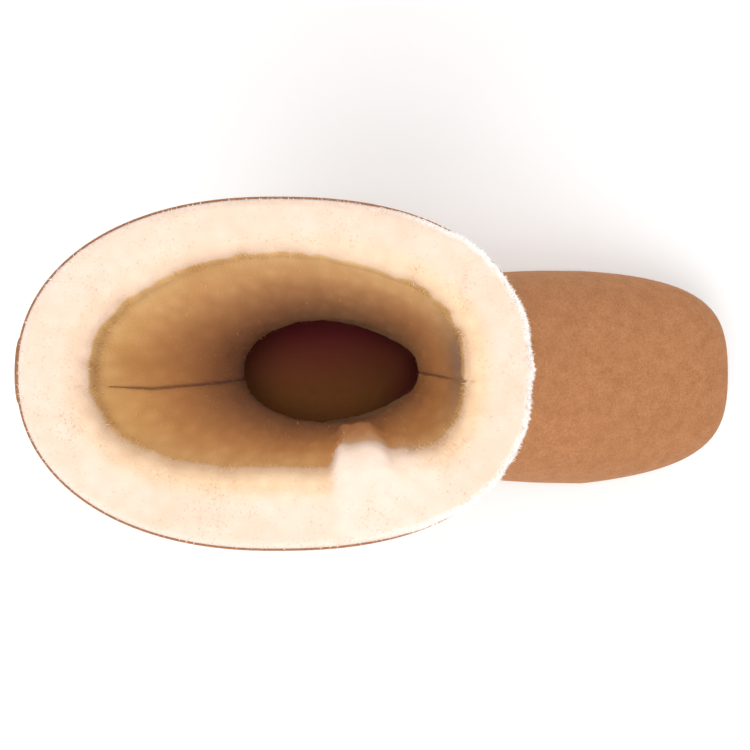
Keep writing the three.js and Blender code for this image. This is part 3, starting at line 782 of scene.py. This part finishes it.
def wool_numbers(points, u, turn, share):
    """What the material needs to know of a place: all of WOOL_KEYS but the last."""
    z, on_wall = points[..., 2], share >= 1
    medial, lateral = sides(turn)
    # the ring's inner roll takes some of the wall's tan, which is partly painted shade, more on the lateral
    # side and in front
    warm = (0.1 + 0.3 * np.maximum(lateral, np.clip(np.sin(turn), 0, 1))) * smoothstep(share, 0.6, 1)
    left = sunken(points, u, turn) * on_wall
    sunk = np.maximum(warm * (1 - on_tuft(u, turn)), left)
    white = (1 - smoothstep(share, 0.03, 0.16)) * (0.2 + 0.7 * ahead(turn))
    # painted light: the tuft's ridge is kept paler, against the shade that falls on it
    ridge = 0.32 * on_tuft(u, turn) * on_wall
    neck_light = 0.35 * np.exp(-(((above_neck(z, turn) - 2.5) / 1.8) ** 2)) * (1 - medial)
    # painted shade: the wall turns browner further down the back of the shaft
    depth = smoothstep(300 - z, 0, 130) * np.clip(-np.sin(turn), 0, 1)
    return (
        sunk * (1 - ridge) * (1 - neck_light),
        depth * (1 - 3 * ridge),
        # painted shade: dark below the ankle's narrowest ring, as seen from the eye above
        smoothstep(-above_neck(z, turn), -0.5, 4),
        painted_rim_shadow(COLLAR_HEIGHT - z, left, turn),
        # with a little painted light on the tuft's top
        np.maximum(white, 0.12 * tuft_top(u, turn)),
    )


print("numbers that every point of the wool carries:", WOOL_KEYS)

# %% The fleece lining
SEAM_DEPTH, LOWEST_FINE_ROW, LIP_SHARES = 0.8, 7, [-2.2, -1]


def relief(points, u, turn, share, facing):
    """How strong the lumps are: calm on the ring and livelier on the wall, at the rim and on the tuft."""
    wall = lerp(0.8, 0.4, np.clip(facing[..., 2], 0, 1)) * smoothstep(share, 0, 0.1)
    rim = np.exp(-(((COLLAR_HEIGHT - points[..., 2] - 3) / 5) ** 2)) * smoothstep(share, 0.7, 1)
    return wall * (1 + 1.2 * on_tuft(u, turn, 5)) * (1 + 1.3 * rim)


def fleece_part(u_rows, shares, columns):
    """One grid of the fleece with the numbers that its material reads."""
    turn, u = np.meshgrid(around(columns), u_rows)
    share = np.broadcast_to(np.asarray(shares, float)[:, None], u.shape)
    base, facing = fleece_points(u, turn, share)
    beside = beside_seam(base, turn)
    seam = SEAM_DEPTH * np.exp(-(beside**2)) * (share >= 1)
    points = base + facing * (clumps(base) * relief(base, u, turn, share, facing) - seam)[..., None]
    beside = np.where(share >= 1, beside, np.copysign(FAR_AWAY, beside))
    return points, (*wool_numbers(points, u, turn, share), beside)


ring_shares = np.concatenate([LIP_SHARES, np.linspace(0, 1, 36)])
rim_rows = np.linspace(LAST, LAST - 0.14, 15)[1:]
wall_rows = np.linspace(LAST - 0.155, LOWEST_FINE_ROW, 122)
fine_rows = np.concatenate([np.full(len(ring_shares), float(LAST)), rim_rows, wall_rows])
fine_shares = np.append(ring_shares, np.ones(len(fine_rows) - len(ring_shares)))
foot_rows = np.linspace(LOWEST_FINE_ROW, -0.98, 64)
parts = [fleece_part(fine_rows, fine_shares, 480), fleece_part(foot_rows, np.ones(64), 120)]
points, faces = joined_grids([sheet for sheet, _ in parts], True)
values = [np.concatenate([v.ravel() for v in pair]) for pair in zip(*(numbers for _, numbers in parts))]
points, faces = open_underneath(points, faces, INSOLE_WALL + 3 * GAP)
fleece = make_piece("fleece_lining", points, faces, fleece_wool, zip(WOOL_KEYS, values))
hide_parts("fleece")

# %% [markdown]
# ## Wisps
# Cut wool never ends in a clean surface. Short wisps stand up over the ring, a fringe leans out over the
# skin at the front, and longer ones hang over the inner edge, which makes it ragged. Each wisp is a narrow
# strip of three short faces that curls as it tapers. They could be hair, but strips made from arrays export
# with the rest, and two joined meshes hold them all.

# %% Strips of wool
rng = np.random.default_rng(11)
WISP_STEPS = 4


def unit(v):
    return v / np.linalg.norm(v, axis=-1, keepdims=True)


def wisps(roots, directions, lengths, width, curl, numbers):
    """Points, faces and attributes of many tapering strips."""
    count, steps = len(roots), WISP_STEPS
    side = np.cross(directions, rng.normal(size=(count, 3)))
    side /= np.linalg.norm(side, axis=1, keepdims=True)
    other = np.cross(directions, side)
    phase = rng.uniform(0, 2 * math.pi, count)
    lines = []
    for k in range(steps):
        t = k / (steps - 1)
        swirl = curl * lengths * t
        angle = phase + 3.0 * t
        middle = roots + directions * (lengths * t)[:, None]
        middle = middle + side * (swirl * np.cos(angle))[:, None] + other * (swirl * np.sin(angle))[:, None]
        half = side * (width * (1 - 0.85 * t) / 2)[:, None]
        lines += [middle - half, middle + half]
    points = np.stack(lines, 1).reshape(-1, 3)
    one = np.array([[2 * k, 2 * k + 1, 2 * k + 3, 2 * k + 2] for k in range(steps - 1)])
    faces = (one[None] + (np.arange(count) * 2 * steps)[:, None, None]).reshape(-1, 4)
    return points, faces, np.repeat(np.stack(numbers), 2 * steps, axis=1)


print("faces in a wisp:", WISP_STEPS - 1)

# %% Where the wisps stand
def roots_on(u, turn, share):
    """Where wisps stand on the fleece, the way out from there and the wool's own numbers."""
    u = np.broadcast_to(np.asarray(u, float), turn.shape)
    share = np.broadcast_to(np.asarray(share, float), turn.shape)
    points, facing = fleece_points(u, turn, share)
    numbers = (*wool_numbers(points, u, turn, share), np.full(turn.shape, FAR_AWAY))
    return points - facing * 0.25, facing, numbers


def spread(count, scale):
    return rng.normal(size=(count, 3)) * scale


def ring_wisps(count):
    turn, share = rng.uniform(0, 2 * math.pi, count), rng.uniform(0.02, 0.99, count)
    roots, facing, numbers = roots_on(LAST, turn, share)
    lean = unit(facing * 0.2 + spread(count, (0.7, 0.7, 0.08)))
    return wisps(roots, lean, rng.uniform(0.5, 1.1, count), rng.uniform(0.25, 0.45, count), 0.2, numbers)


def rim_fringe(count, turn, reach, outwards):
    roots, _, numbers = roots_on(LAST, turn, rng.uniform(0.0, 0.12, count))
    lean = unit(outward(np.full(count, float(LAST)), turn) * outwards + spread(count, 0.45) + (0, 0, 0.35))
    return wisps(roots, lean, rng.uniform(0.5, reach, count), rng.uniform(0.16, 0.36, count), 0.3, numbers)


def wall_wisps(count, low, high, reach):
    turn = rng.uniform(0, 2 * math.pi, count)
    u = LAST - (LAST - LOWEST_FINE_ROW) * rng.uniform(low, high, count)
    roots, facing, numbers = roots_on(u, turn, 1.0)
    lean = unit(facing * 0.5 + spread(count, 0.3) + (0, 0, -0.85))
    return wisps(roots, lean, rng.uniform(0.6, reach, count), rng.uniform(0.12, 0.26, count), 0.2, numbers)


def joined(sets):
    starts = np.cumsum([0] + [len(s[0]) for s in sets[:-1]])
    faces = [s[1] + start for s, start in zip(sets, starts)]
    numbers = np.concatenate([s[2] for s in sets], 1)
    return np.concatenate([s[0] for s in sets]), faces, zip(WOOL_KEYS, numbers)


front_fringe = rim_fringe(4200, rng.normal(math.pi / 2 + 0.1, 0.6, 4200), 1.1, 0.5)
thin_fringe = rim_fringe(1500, rng.uniform(0, 2 * math.pi, 1500), 1.1, 0.4)
for name, sets in (
    ("fleece_ring_wisps", [ring_wisps(10000), front_fringe, thin_fringe]),
    ("fleece_wall_wisps", [wall_wisps(6500, 0.0, 0.02, 1.2), wall_wisps(7000, 0.01, 1.0, 1.7)]),
):
    points, faces, values = joined(sets)
    piece = make_piece(name, points, faces, fleece_wool, values)

# %% [markdown]
# ## Footbed and sole
# The footbed is felted wool, and shows only as brown dusk through the ankle, so its CAD solid stays and
# only gets its finish. It is the lining's wool in a warmer tan, with a dusky red mixed in towards the toe
# and the medial side, where no light from the collar falls. A darker colour all over would be simpler, but
# the heel does catch some light. The sole is moulded rubber, made from the same nap as the suede but with a
# little gloss.

# %% The footbed's wool
DUSK_TO_MEDIAL, DUSK_TO_TOE = (-0.01, 0.022), (-0.035, -0.012)
footbed_wool = fleece_material(
    "footbed_wool", 300.0, colour_of(254, 172, 100), colour_of(248, 156, 86),
    colour_of(254, 172, 100), colour_of(248, 156, 86), colour_of(204, 146, 78), colour_of(108, 40, 28),
)


def add_dusk(material, colour):
    """Mixes a dusky colour over a material where it lies far to the medial side or ahead, in metres."""
    tree = material.node_tree
    axes = add_node(tree, "ShaderNodeSeparateXYZ")
    feed(tree, [(axes.inputs[0], add_node(tree, "ShaderNodeTexCoord").outputs["Object"])])
    dusk = maths(tree, "MAXIMUM", stretched(tree, axes.outputs["Y"], *DUSK_TO_MEDIAL),
                 stretched(tree, axes.outputs["X"], *DUSK_TO_TOE))
    base = tree.nodes["Principled BSDF"].inputs["Base Color"]
    feed(tree, [(base, mixed(tree, dusk, base.links[0].from_socket, colour))])


add_dusk(footbed_wool, colour_of(140, 54, 54))
footbed_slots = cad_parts["insole"].data.materials
footbed_slots.clear()
footbed_slots.append(footbed_wool)
print("footbed's finish:", footbed_slots[0].name)

# %% The sole's rubber
def rubber_material(name, light, dark):
    material, tree, shader, masks = material_with(name, nap, 1400.0)
    feed_named(tree, shader, {
        "Base Color": mixed(tree, weighed(tree, masks["Worn"], 0.6, masks["Brushed"]), dark, light),
        "Roughness": stretched(tree, masks["Brushed"], -2.2, 1.6),
        "Specular IOR Level": 0.35,
        "Normal": bump(tree, masks["Grain"], 0.25, 0.0002),
    })
    return material


sole_rubber = rubber_material("sole_rubber", colour_of(172, 122, 80), colour_of(150, 103, 65))

# %% [markdown]
# ## The moulded sole
# The sole has a groove round its side and grooves across its tread. Its outline is the line where the upper
# meets the sole's top, let out by a small margin. It could be cut from the CAD solid, but it is drawn again
# here with many more points, because flats would show at the toe's corners.

# %% The sole's outline
SOLE_MARGIN, SIDE_GROOVE = 1.8, 1.2
ARCH_LIFT, ARCH = 3.5, (0.31, 0.6)


def sole_bottom(x):
    along = np.clip((np.asarray(x, float) / BOOT_LENGTH - ARCH[0]) / (ARCH[1] - ARCH[0]), 0, 1)
    return sole_spring(x) + ARCH_LIFT * np.sin(math.pi * along) ** 2


def halved(high, low, is_high):
    """The place between high and low where a test changes, by halving the span again and again."""
    for _ in range(26):
        middle = (high + low) / 2
        upper_half = is_high(middle)
        high, low = np.where(upper_half, middle, high), np.where(upper_half, low, middle)
    return (high + low) / 2


def line_is_above(u):
    s = rows_at(u)
    return s[..., BACK_Z] > sole_top(s[..., BACK_X])


def feather_line(u, side):
    """Where each section crosses the sole's top, on the medial (1) or the lateral side (-1)."""
    high = np.full(u.shape, 2 * math.pi if side > 0 else math.pi)

    def is_above(turn):
        p = skin_points(u, turn)
        return p[..., 2] > sole_top(p[..., 0])

    return skin_points(u, halved(high, np.full(u.shape, 1.5 * math.pi), is_above))[..., :2]


def crowded_ends(low, high, count):
    """Numbers from low to high that lie closer together at both ends."""
    return lerp(low, high, (1 - np.cos(np.linspace(0, math.pi, count))) / 2)


toe_end = float(halved(np.array(-1.0), np.array(0.0), line_is_above))
heel_end = float(halved(np.array(8.0), np.array(5.0), line_is_above))
stations = crowded_ends(toe_end, heel_end, 421)
outline = np.concatenate([feather_line(stations, 1), feather_line(stations[1:-1], -1)[::-1]])
print("the upper meets the sole over", np.ptp(outline, 0).round(1), "mm")

# %% The sole's side and tread
TREAD_DEPTH, TREAD_GROOVE, TREAD_PITCH, TREAD_RIM = 2.4, 3.2, 11.5, 9.0
TREAD_ZONES = [(0.06, 0.29), (0.61, 0.945)]
# share of the sole's height, and the step outwards in side grooves
SOLE_SIDE = [
    (0.0, -1.8), (0.02, -1.0), (0.06, -0.3), (0.12, 0.0),
    (0.46, 0.0), (0.48, -0.15), (0.5, -0.95), (0.58, -0.95), (0.6, -0.15), (0.62, 0.0),
    (0.92, 0.0), (0.96, -0.2), (0.99, -0.6), (1.0, -1.1), (1.0, -9.0),
]
TREAD_INSET = -SOLE_SIDE[0][1] * SIDE_GROOVE


def let_out(line, amount):
    along = unit(np.roll(line, -1, 0) - np.roll(line, 1, 0))
    return line + np.stack([along[:, 1], -along[:, 0]], -1) * amount


rings = []
for up, out in SOLE_SIDE:
    ring = let_out(outline, SOLE_MARGIN + out * SIDE_GROOVE)
    rings.append(np.column_stack([ring, lerp(sole_bottom(ring[:, 0]), sole_top(ring[:, 0]), up)]))
side_faces = grid_faces(len(rings), len(outline), True)

tread = let_out(outline, SOLE_MARGIN - TREAD_INSET)
medial_line, lateral_line = tread[:len(stations)], np.roll(tread, 1, 0)[len(stations):]
x_rows = crowded_ends(tread[:, 0].min(), tread[:, 0].max(), 521)
high_y, low_y = (np.interp(x_rows, *line[np.argsort(line[:, 0])].T) for line in (medial_line, lateral_line))
x, share = np.meshgrid(x_rows, np.linspace(0, 1, 41), indexing="ij")
y = lerp(low_y[:, None], high_y[:, None], share)
rim = np.minimum(high_y[:, None] - y, y - low_y[:, None]) - (TREAD_RIM - TREAD_INSET)
grooves = np.zeros(x.shape)
for start_share, end_share in TREAD_ZONES:
    count = int(BOOT_LENGTH * (end_share - start_share) / TREAD_PITCH) + 1
    for k in range(count):
        away = np.abs(x - BOOT_LENGTH * start_share - TREAD_PITCH * k) - TREAD_GROOVE / 2
        grooves = np.maximum(grooves, 1 - smoothstep(away, -0.35, 0.35))
grooves *= smoothstep(rim, -0.5, 0.5)
bottom = np.stack([x, y, sole_bottom(x) + TREAD_DEPTH * grooves], -1)
points = np.concatenate([*rings, bottom.reshape(-1, 3)])
faces = [side_faces, grid_faces(*x.shape, False, len(rings) * len(outline))]
sole = make_piece("moulded_sole", points, faces, sole_rubber)
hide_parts("outsole")

# %% [markdown]
# ## Overlays and seams
# The heel counter and the back strip are second layers of suede, sewn on, and the seams in front and over
# the vamp are raised beads. Each is a thin plate that follows the last at a small height and turns down at
# its borders. Cutting them from the upper with booleans would also do, but would leave hard corners. A
# point on the boot's side is known by its x and z, so a helper finds the row and turn of the last that pass
# through it, and each edge can be drawn as a maker would draw it on the side of the boot.

# %% Finding a place on the side of the last
def place_on_side(x, z, side):
    """Row number and turn of the point of the last at x and z, on the medial (1) or lateral (-1) side."""
    x, z = np.broadcast_arrays(np.asarray(x, float), np.asarray(z, float))
    candidates = np.linspace(0, LAST, 561)
    s = rows_at(candidates)
    run, climb = s[:, TOP_X] - s[:, BACK_X], s[:, TOP_Z] - s[:, BACK_Z]
    off = run * (z[..., None] - s[:, BACK_Z]) - climb * (x[..., None] - s[:, BACK_X])
    i = np.argmax(off[..., :-1] * off[..., 1:] <= 0, -1)
    a, b = (np.take_along_axis(off, i[..., None] + step, -1)[..., 0] for step in (0, 1))
    u = candidates[i] + (candidates[1] - candidates[0]) * a / np.where(a == b, 1, a - b)
    s = rows_at(u)
    run, climb, widest = s[..., TOP_X] - s[..., BACK_X], s[..., TOP_Z] - s[..., BACK_Z], s[..., WIDEST]
    share = ((x - s[..., BACK_X]) * run + (z - s[..., BACK_Z]) * climb) / (run**2 + climb**2)
    over = share >= widest
    up = np.clip(np.where(over, (share - widest) / (1 - widest), (widest - share) / widest), 0, 1)
    power = np.where(over, s[..., CROWN], s[..., CUP])
    across = np.maximum(0, 1 - up**power) ** (1 / power)
    return u, np.arctan2(np.where(over, up, -up), side * across)


def heel_back(z):
    """x of the back of the boot at a height, below the ankle."""
    u = np.linspace(5, LAST, 300)
    s = rows_at(u)
    return np.interp(z, s[:, BACK_Z], s[:, BACK_X])


def plate(u, turn, height):
    """A layer laid over the suede, from a grid of places and heights above it."""
    return layer(u, turn, -height)


def rounded(border, width):
    """Height of a plate's edge, as a share, at a distance from its border."""
    return np.sqrt(np.clip(border / width, 0, 1))


print("100 mm up, the boot's back lies at x =", heel_back(100).round(1), "mm")

# %% The heel counter
COUNTER_REACH, COUNTER_HEIGHT, OVERLAY = 68.0, 60.0, 1.4
COUNTER_SINK, COUNTER_INSET = 0.25, 0.1


def counter_edge(w):
    """How far forward the counter reaches at a share w of its height."""
    return COUNTER_REACH * (1 - w**2.5) ** (1 / 2.3)


def counter_place(along, w, side):
    """A place on the counter: along is 0 at the back and 1 at its front edge."""
    z = SOLE_HEEL + GAP + COUNTER_INSET + (COUNTER_HEIGHT - 2 * COUNTER_INSET) * w
    back = heel_back(z) + 0.02
    x = back + np.maximum(counter_edge(w) - back, 0.3) * along**2
    return place_on_side(x, z, side)


along = np.linspace(-1, 1, 141)
w_rows = 1 - (1 - np.linspace(0, 1, 46)) ** 1.6
w, a = np.meshgrid(w_rows, along, indexing="ij")
u_l, t_l = counter_place(np.abs(a), w, -1.0)
u_m, t_m = counter_place(np.abs(a), w, 1.0)
u, turn = np.where(a < 0, u_l, u_m), np.where(a < 0, t_l, t_m)
border = np.minimum.reduce([(1 - np.abs(a)) * COUNTER_HEIGHT, (1 - w) * 48, w * COUNTER_HEIGHT])
uneven = 0.15 * (noise(np.stack([a * COUNTER_HEIGHT, w * COUNTER_HEIGHT, 0 * a], -1), 9, 4) - 0.5)
height = GAP - COUNTER_SINK + (OVERLAY + COUNTER_SINK) * rounded(border, 1.3) - uneven
points, faces = joined_grids([plate(u, turn, height)], False)
counter = make_piece("heel_counter_suede", points, faces, overlay_suede)
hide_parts("heel_counter")

# %% The back strip
STRIP_WIDTH, STRIP_SINK = 19.0, 0.05


def place_on_end(u, y, front):
    """Turn of the point at row u and a sideways distance y, on the front or the back of the boot."""
    s = rows_at(u)
    power = np.where(front, s[..., CROWN], s[..., CUP])
    across = np.clip((y - s[..., SWING]) / s[..., HALF], -1, 1)
    up = np.maximum(0, 1 - np.abs(across) ** power) ** (1 / power)
    return np.arctan2(up if front else -up, across)


def row_at_height(z, column):
    u = np.linspace(0, LAST, 900)
    s = rows_at(u)[:, column]
    order = np.argsort(s)
    return np.interp(z, s[order], u[order])


strip_foot = SOLE_HEEL + COUNTER_HEIGHT + GAP
top_rows = COLLAR_HEIGHT - np.array([0.6, 0.25, 0])
z_rows = np.append(np.linspace(strip_foot + 0.1, COLLAR_HEIGHT - 1, 150), top_rows)
strip_y = np.linspace(-STRIP_WIDTH / 2, STRIP_WIDTH / 2, 25)
u, y = np.meshgrid(row_at_height(z_rows, BACK_Z), strip_y, indexing="ij")
ends = np.minimum(z_rows - strip_foot, COLLAR_HEIGHT - z_rows)[:, None]
flatter = lerp(1.0, 5.0, smoothstep(z_rows, 300, COLLAR_HEIGHT))[:, None]
border = np.minimum((STRIP_WIDTH / 2 - np.abs(y)) / flatter, ends)
skived = lerp(1.0, 0.5, smoothstep(z_rows, 280, 322))[:, None]
height = STRIP_SINK + (GAP + OVERLAY - STRIP_SINK) * skived * rounded(border, 1.1)
points, faces = joined_grids([plate(u, place_on_end(u, y, False), height)], False)
strip = make_piece("back_strip_suede", points, faces, overlay_suede)
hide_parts("back_strip")

# %% The raised seams, in front and over the vamp
SEAM_WIDTH, SEAM_HEIGHT, SEAM_SINK = 4.0, 1.3, 0.3
# shares of the boot's length, and of the way from the sole up to the throat
VAMP_SEAM = np.array([(0.4, 0.0), (0.408, 0.2), (0.427, 0.42), (0.455, 0.63), (0.49, 0.81), (0.53, 0.95)])
throat_z = THROAT_HEIGHT * SEAM_FOOT
seam_x = BOOT_LENGTH * VAMP_SEAM[:, 0]
seam_z = lerp(sole_top(seam_x) - HIDDEN_TUCK, throat_z, VAMP_SEAM[:, 1])
seam_y = np.linspace(-SEAM_WIDTH / 2, SEAM_WIDTH / 2, 11)


def bead(offset):
    """Height of a raised seam across its width."""
    return (SEAM_HEIGHT + SEAM_SINK) * np.maximum(0, 1 - (offset * 2 / SEAM_WIDTH) ** 2) ** 0.6 - SEAM_SINK


def vamp_line(t):
    """The vamp seam's side line at shares t of its length, with its sideways direction."""
    at = np.linspace(0, 1, len(seam_x))
    curve_x, curve_z = np.polyfit(at, seam_x, 4), np.polyfit(at, seam_z, 4)
    x, z = np.polyval(curve_x, t), np.polyval(curve_z, t)
    dx, dz = np.polyval(np.polyder(curve_x), t), np.polyval(np.polyder(curve_z), t)
    size = np.hypot(dx, dz)
    return x, z, -dz / size, dx / size


def over_vamp(offset, side):
    """Places along the vamp seam at sideways distances, from the sole's top to the middle of the instep."""
    ends = np.linspace(0.8, 1.2, 81)
    x, z, _, _ = vamp_line(ends)
    _, turn = place_on_side(x, z, 1.0)
    last = ends[np.argmax(np.abs(np.cos(turn)) < 0.01)] + 0.02
    gap, off = np.meshgrid((1 - np.linspace(0, 1, 120)) ** 2.2, offset, indexing="ij")
    x, z, nx, nz = vamp_line(last - (last - 0.05) * gap)
    return place_on_side(x + nx * off, z + nz * off, side), off


z_rows = np.append(np.linspace(throat_z, COLLAR_HEIGHT - 2, 130), COLLAR_HEIGHT - np.array([1.2, 0.5, 0]))
u, y = np.meshgrid(row_at_height(z_rows, TOP_Z), seam_y, indexing="ij")
run_out = rounded(COLLAR_HEIGHT - z_rows, 6)[:, None]
seam_sheets = [plate(u, place_on_end(u, y, True), (bead(y) + SEAM_SINK) * run_out - SEAM_SINK)]
for side in (1.0, -1.0):
    (u, turn), off = over_vamp(seam_y, side)
    seam_sheets.append(plate(u, turn, bead(off)))
seams = make_piece("raised_seams", *joined_grids(seam_sheets, False), overlay_suede)

# %% [markdown]
# ## Stitches
# The overlays and seams are held by rows of thick thread. A stitch is a small capsule, a little longer than
# it is thick, pressed into the suede. A curve with an array would place them too, but one template turned
# and placed along each row leaves plain geometry, and all the stitches are one mesh.

# %% One stitch
STITCH_PITCH, STITCH_LENGTH, THREAD_RADIUS = 3.1, 2.3, 0.36
RINGS, SPOKES = 5, 6


def one_stitch():
    """A capsule along x: its points, its four-sided faces and the triangles of its ends."""
    points = [(-STITCH_LENGTH / 2, 0, 0)]
    for bend in np.linspace(0, math.pi, RINGS + 2)[1:-1]:
        x, radius = -STITCH_LENGTH / 2 * math.cos(bend), THREAD_RADIUS * math.sin(bend) ** 0.5
        points += [(x, radius * math.cos(angle), radius * math.sin(angle)) for angle in around(SPOKES)]
    points.append((STITCH_LENGTH / 2, 0, 0))
    last, low = len(points) - 1, len(points) - 1 - SPOKES
    pairs = [(k, (k + 1) % SPOKES) for k in range(SPOKES)]
    caps = [(0, 1 + j, 1 + i) for i, j in pairs] + [(last, low + i, low + j) for i, j in pairs]
    return np.array(points), grid_faces(RINGS, SPOKES, True, 1), np.array(caps)


def stitch_rows(lines):
    """Stitches along lines of (points, outward directions)."""
    template, quads, caps = one_stitch()
    all_points = []
    for path, normals in lines:
        run = np.concatenate([[0], np.cumsum(np.linalg.norm(np.diff(path, axis=0), axis=1))])
        stops = np.arange(STITCH_PITCH / 2, run[-1] - STITCH_PITCH / 2, STITCH_PITCH)
        middle, further, up = (
            np.stack([np.interp(at, run, values[:, k]) for k in range(3)], -1)
            for at, values in ((stops, path), (stops + 0.5, path), (stops, normals))
        )
        forward = unit(further - middle)
        sideways = unit(np.cross(unit(up), forward))
        for m, f, s, n in zip(middle, forward, sideways, np.cross(forward, sideways)):
            all_points.append(m + template @ np.array([f, s, n]))
    starts = np.arange(len(all_points))[:, None, None] * len(template)
    return np.concatenate(all_points), [(quads + starts).reshape(-1, 4), (caps + starts).reshape(-1, 3)]


print("points in a stitch:", len(one_stitch()[0]))

# %% The thread and its rows
STRIP_ROW_INSET, BESIDE_BEAD, COUNTER_ROW_INSETS, THREAD_LIFT = 2.2, 3.4, (2.4, 5.2), 0.05


def thread_material(name, dark, light):
    material, tree, shader, masks = material_with(name, nap, 2200.0)
    feed_named(tree, shader, {"Base Color": mixed(tree, masks["Grain"], dark, light), "Roughness": 0.7})
    return material


def row_of(u, turn, height):
    return layer(u, turn, -np.full(np.shape(u), height)), outward(u, turn)


def upright_row(low, y, column, height):
    """A row up the back or the front of the shaft, y beside its middle."""
    u = row_at_height(np.linspace(low, COLLAR_HEIGHT - 3, 200), column)
    return row_of(u, place_on_end(u, np.full(u.shape, y), column == TOP_Z), height)


def counter_row(inset, side):
    """A row inside the counter's curved edge."""
    w = np.linspace(0.03, 0.93, 160)
    width = np.maximum(counter_edge(w) - heel_back(SOLE_HEEL + COUNTER_HEIGHT * w), 6)
    share = np.sqrt(np.clip(1 - inset / width, 0, 1))
    return row_of(*counter_place(share, w - inset / 90 * w**3, side), GAP + OVERLAY)


def vamp_row(off, side):
    (u, turn), _ = over_vamp(np.array([off]), side)
    return row_of(u[:, 0], turn[:, 0], THREAD_LIFT)


strip_row_y = STRIP_WIDTH / 2 - STRIP_ROW_INSET
lines = [upright_row(strip_foot + 3, y, BACK_Z, GAP + OVERLAY) for y in (-strip_row_y, strip_row_y)]
lines += [upright_row(throat_z + 2, y, TOP_Z, THREAD_LIFT) for y in (-BESIDE_BEAD, BESIDE_BEAD)]
for side in (1.0, -1.0):
    lines += [counter_row(inset, side) for inset in COUNTER_ROW_INSETS]
    lines += [vamp_row(off, side) for off in (-BESIDE_BEAD, BESIDE_BEAD)]
thread = thread_material("waxed_thread", colour_of(128, 80, 46), colour_of(170, 115, 72))
stitches = make_piece("stitches", *stitch_rows(lines), thread)

# %% [markdown]
# ## Light, floor and camera
# The photo is a plain studio shot on white: broad soft light from above with hardly a shadow. A pale floor,
# a bright even world and two large lamps give that, and a smaller lamp straight above lights the wall down
# to the ankle. One big lamp would also be soft, but it would leave the shaft dark. The camera hangs 0.7 m
# over the floor and looks straight down; its height and place come from the lines of the shaft, which all
# run to the point below it.

# %% Floor and world
FLOOR_GREY, WORLD_STRENGTH = 0.98, 0.56
bpy.ops.mesh.primitive_plane_add(size=6, location=(0, 0, 0))
floor = bpy.context.object
floor.name = "floor"
floor_material = bpy.data.materials.new("pale_floor")
floor_material.use_nodes = True
floor_tree = floor_material.node_tree
floor_finish = {"Base Color": (FLOOR_GREY, FLOOR_GREY, FLOOR_GREY, 1), "Roughness": 0.9}
feed_named(floor_tree, floor_tree.nodes["Principled BSDF"], floor_finish)
floor.data.materials.append(floor_material)
floor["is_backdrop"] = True

world = bpy.data.worlds.new("studio")
bpy.context.scene.world = world
world.use_nodes = True
world_tree = world.node_tree
feed_named(world_tree, world_tree.nodes["Background"], {"Color": (1, 1, 1, 1), "Strength": WORLD_STRENGTH})
print("floor", FLOOR_GREY, "world", WORLD_STRENGTH)

# %% Lamps
# place and aim in metres, power in watts and size in metres
LAMPS = {
    "key": ((-0.3, -0.9, 1.7), (-0.03, 0, 0.2), 14.5, 1.3),
    "fill": ((0.3, 0.9, 1.5), (0, 0, 0.15), 3, 1.6),
    "overhead": ((-0.04, 0.02, 1.9), (-0.04, 0, 0), 10.5, 0.4),
}


def lamp(name, place, aim, power, size):
    data = bpy.data.lights.new(name, "AREA")
    data.energy = power
    data.size = size
    light = bpy.data.objects.new(name, data)
    light.location = place
    light.rotation_euler = (Vector(aim) - Vector(place)).to_track_quat("-Z", "Y").to_euler()
    bpy.context.scene.collection.objects.link(light)


for name, settings in LAMPS.items():
    lamp(name, *settings)
print("lamps:", list(LAMPS))

# %% Camera
FOCAL_PIXELS, WIDTH_PIXELS, SENSOR = 1344.0, 750.0, 36.0
BELOW_CAMERA = (358.0, 371.0)
camera_data = bpy.data.cameras.new("camera")
camera_data.sensor_width = SENSOR
camera_data.lens = SENSOR * FOCAL_PIXELS / WIDTH_PIXELS
camera_data.shift_x = (WIDTH_PIXELS / 2 - BELOW_CAMERA[0]) / WIDTH_PIXELS
camera_data.shift_y = -(WIDTH_PIXELS / 2 - BELOW_CAMERA[1]) / WIDTH_PIXELS
camera = bpy.data.objects.new("camera", camera_data)
camera.location = to_frame(EYE)
bpy.context.scene.collection.objects.link(camera)
bpy.context.scene.camera = camera
bpy.context.scene.view_settings.view_transform = "Standard"
print("lens", round(camera_data.lens, 2), "camera at", tuple(round(v, 4) for v in camera.location))

# %% Measure the boxes and finish
visual_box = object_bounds()
boxes = {"cad": [list(map(float, c)) for c in cad_box], "visual": [list(map(float, c)) for c in visual_box]}
print("CAD box", boxes["cad"], "visual box", boxes["visual"])
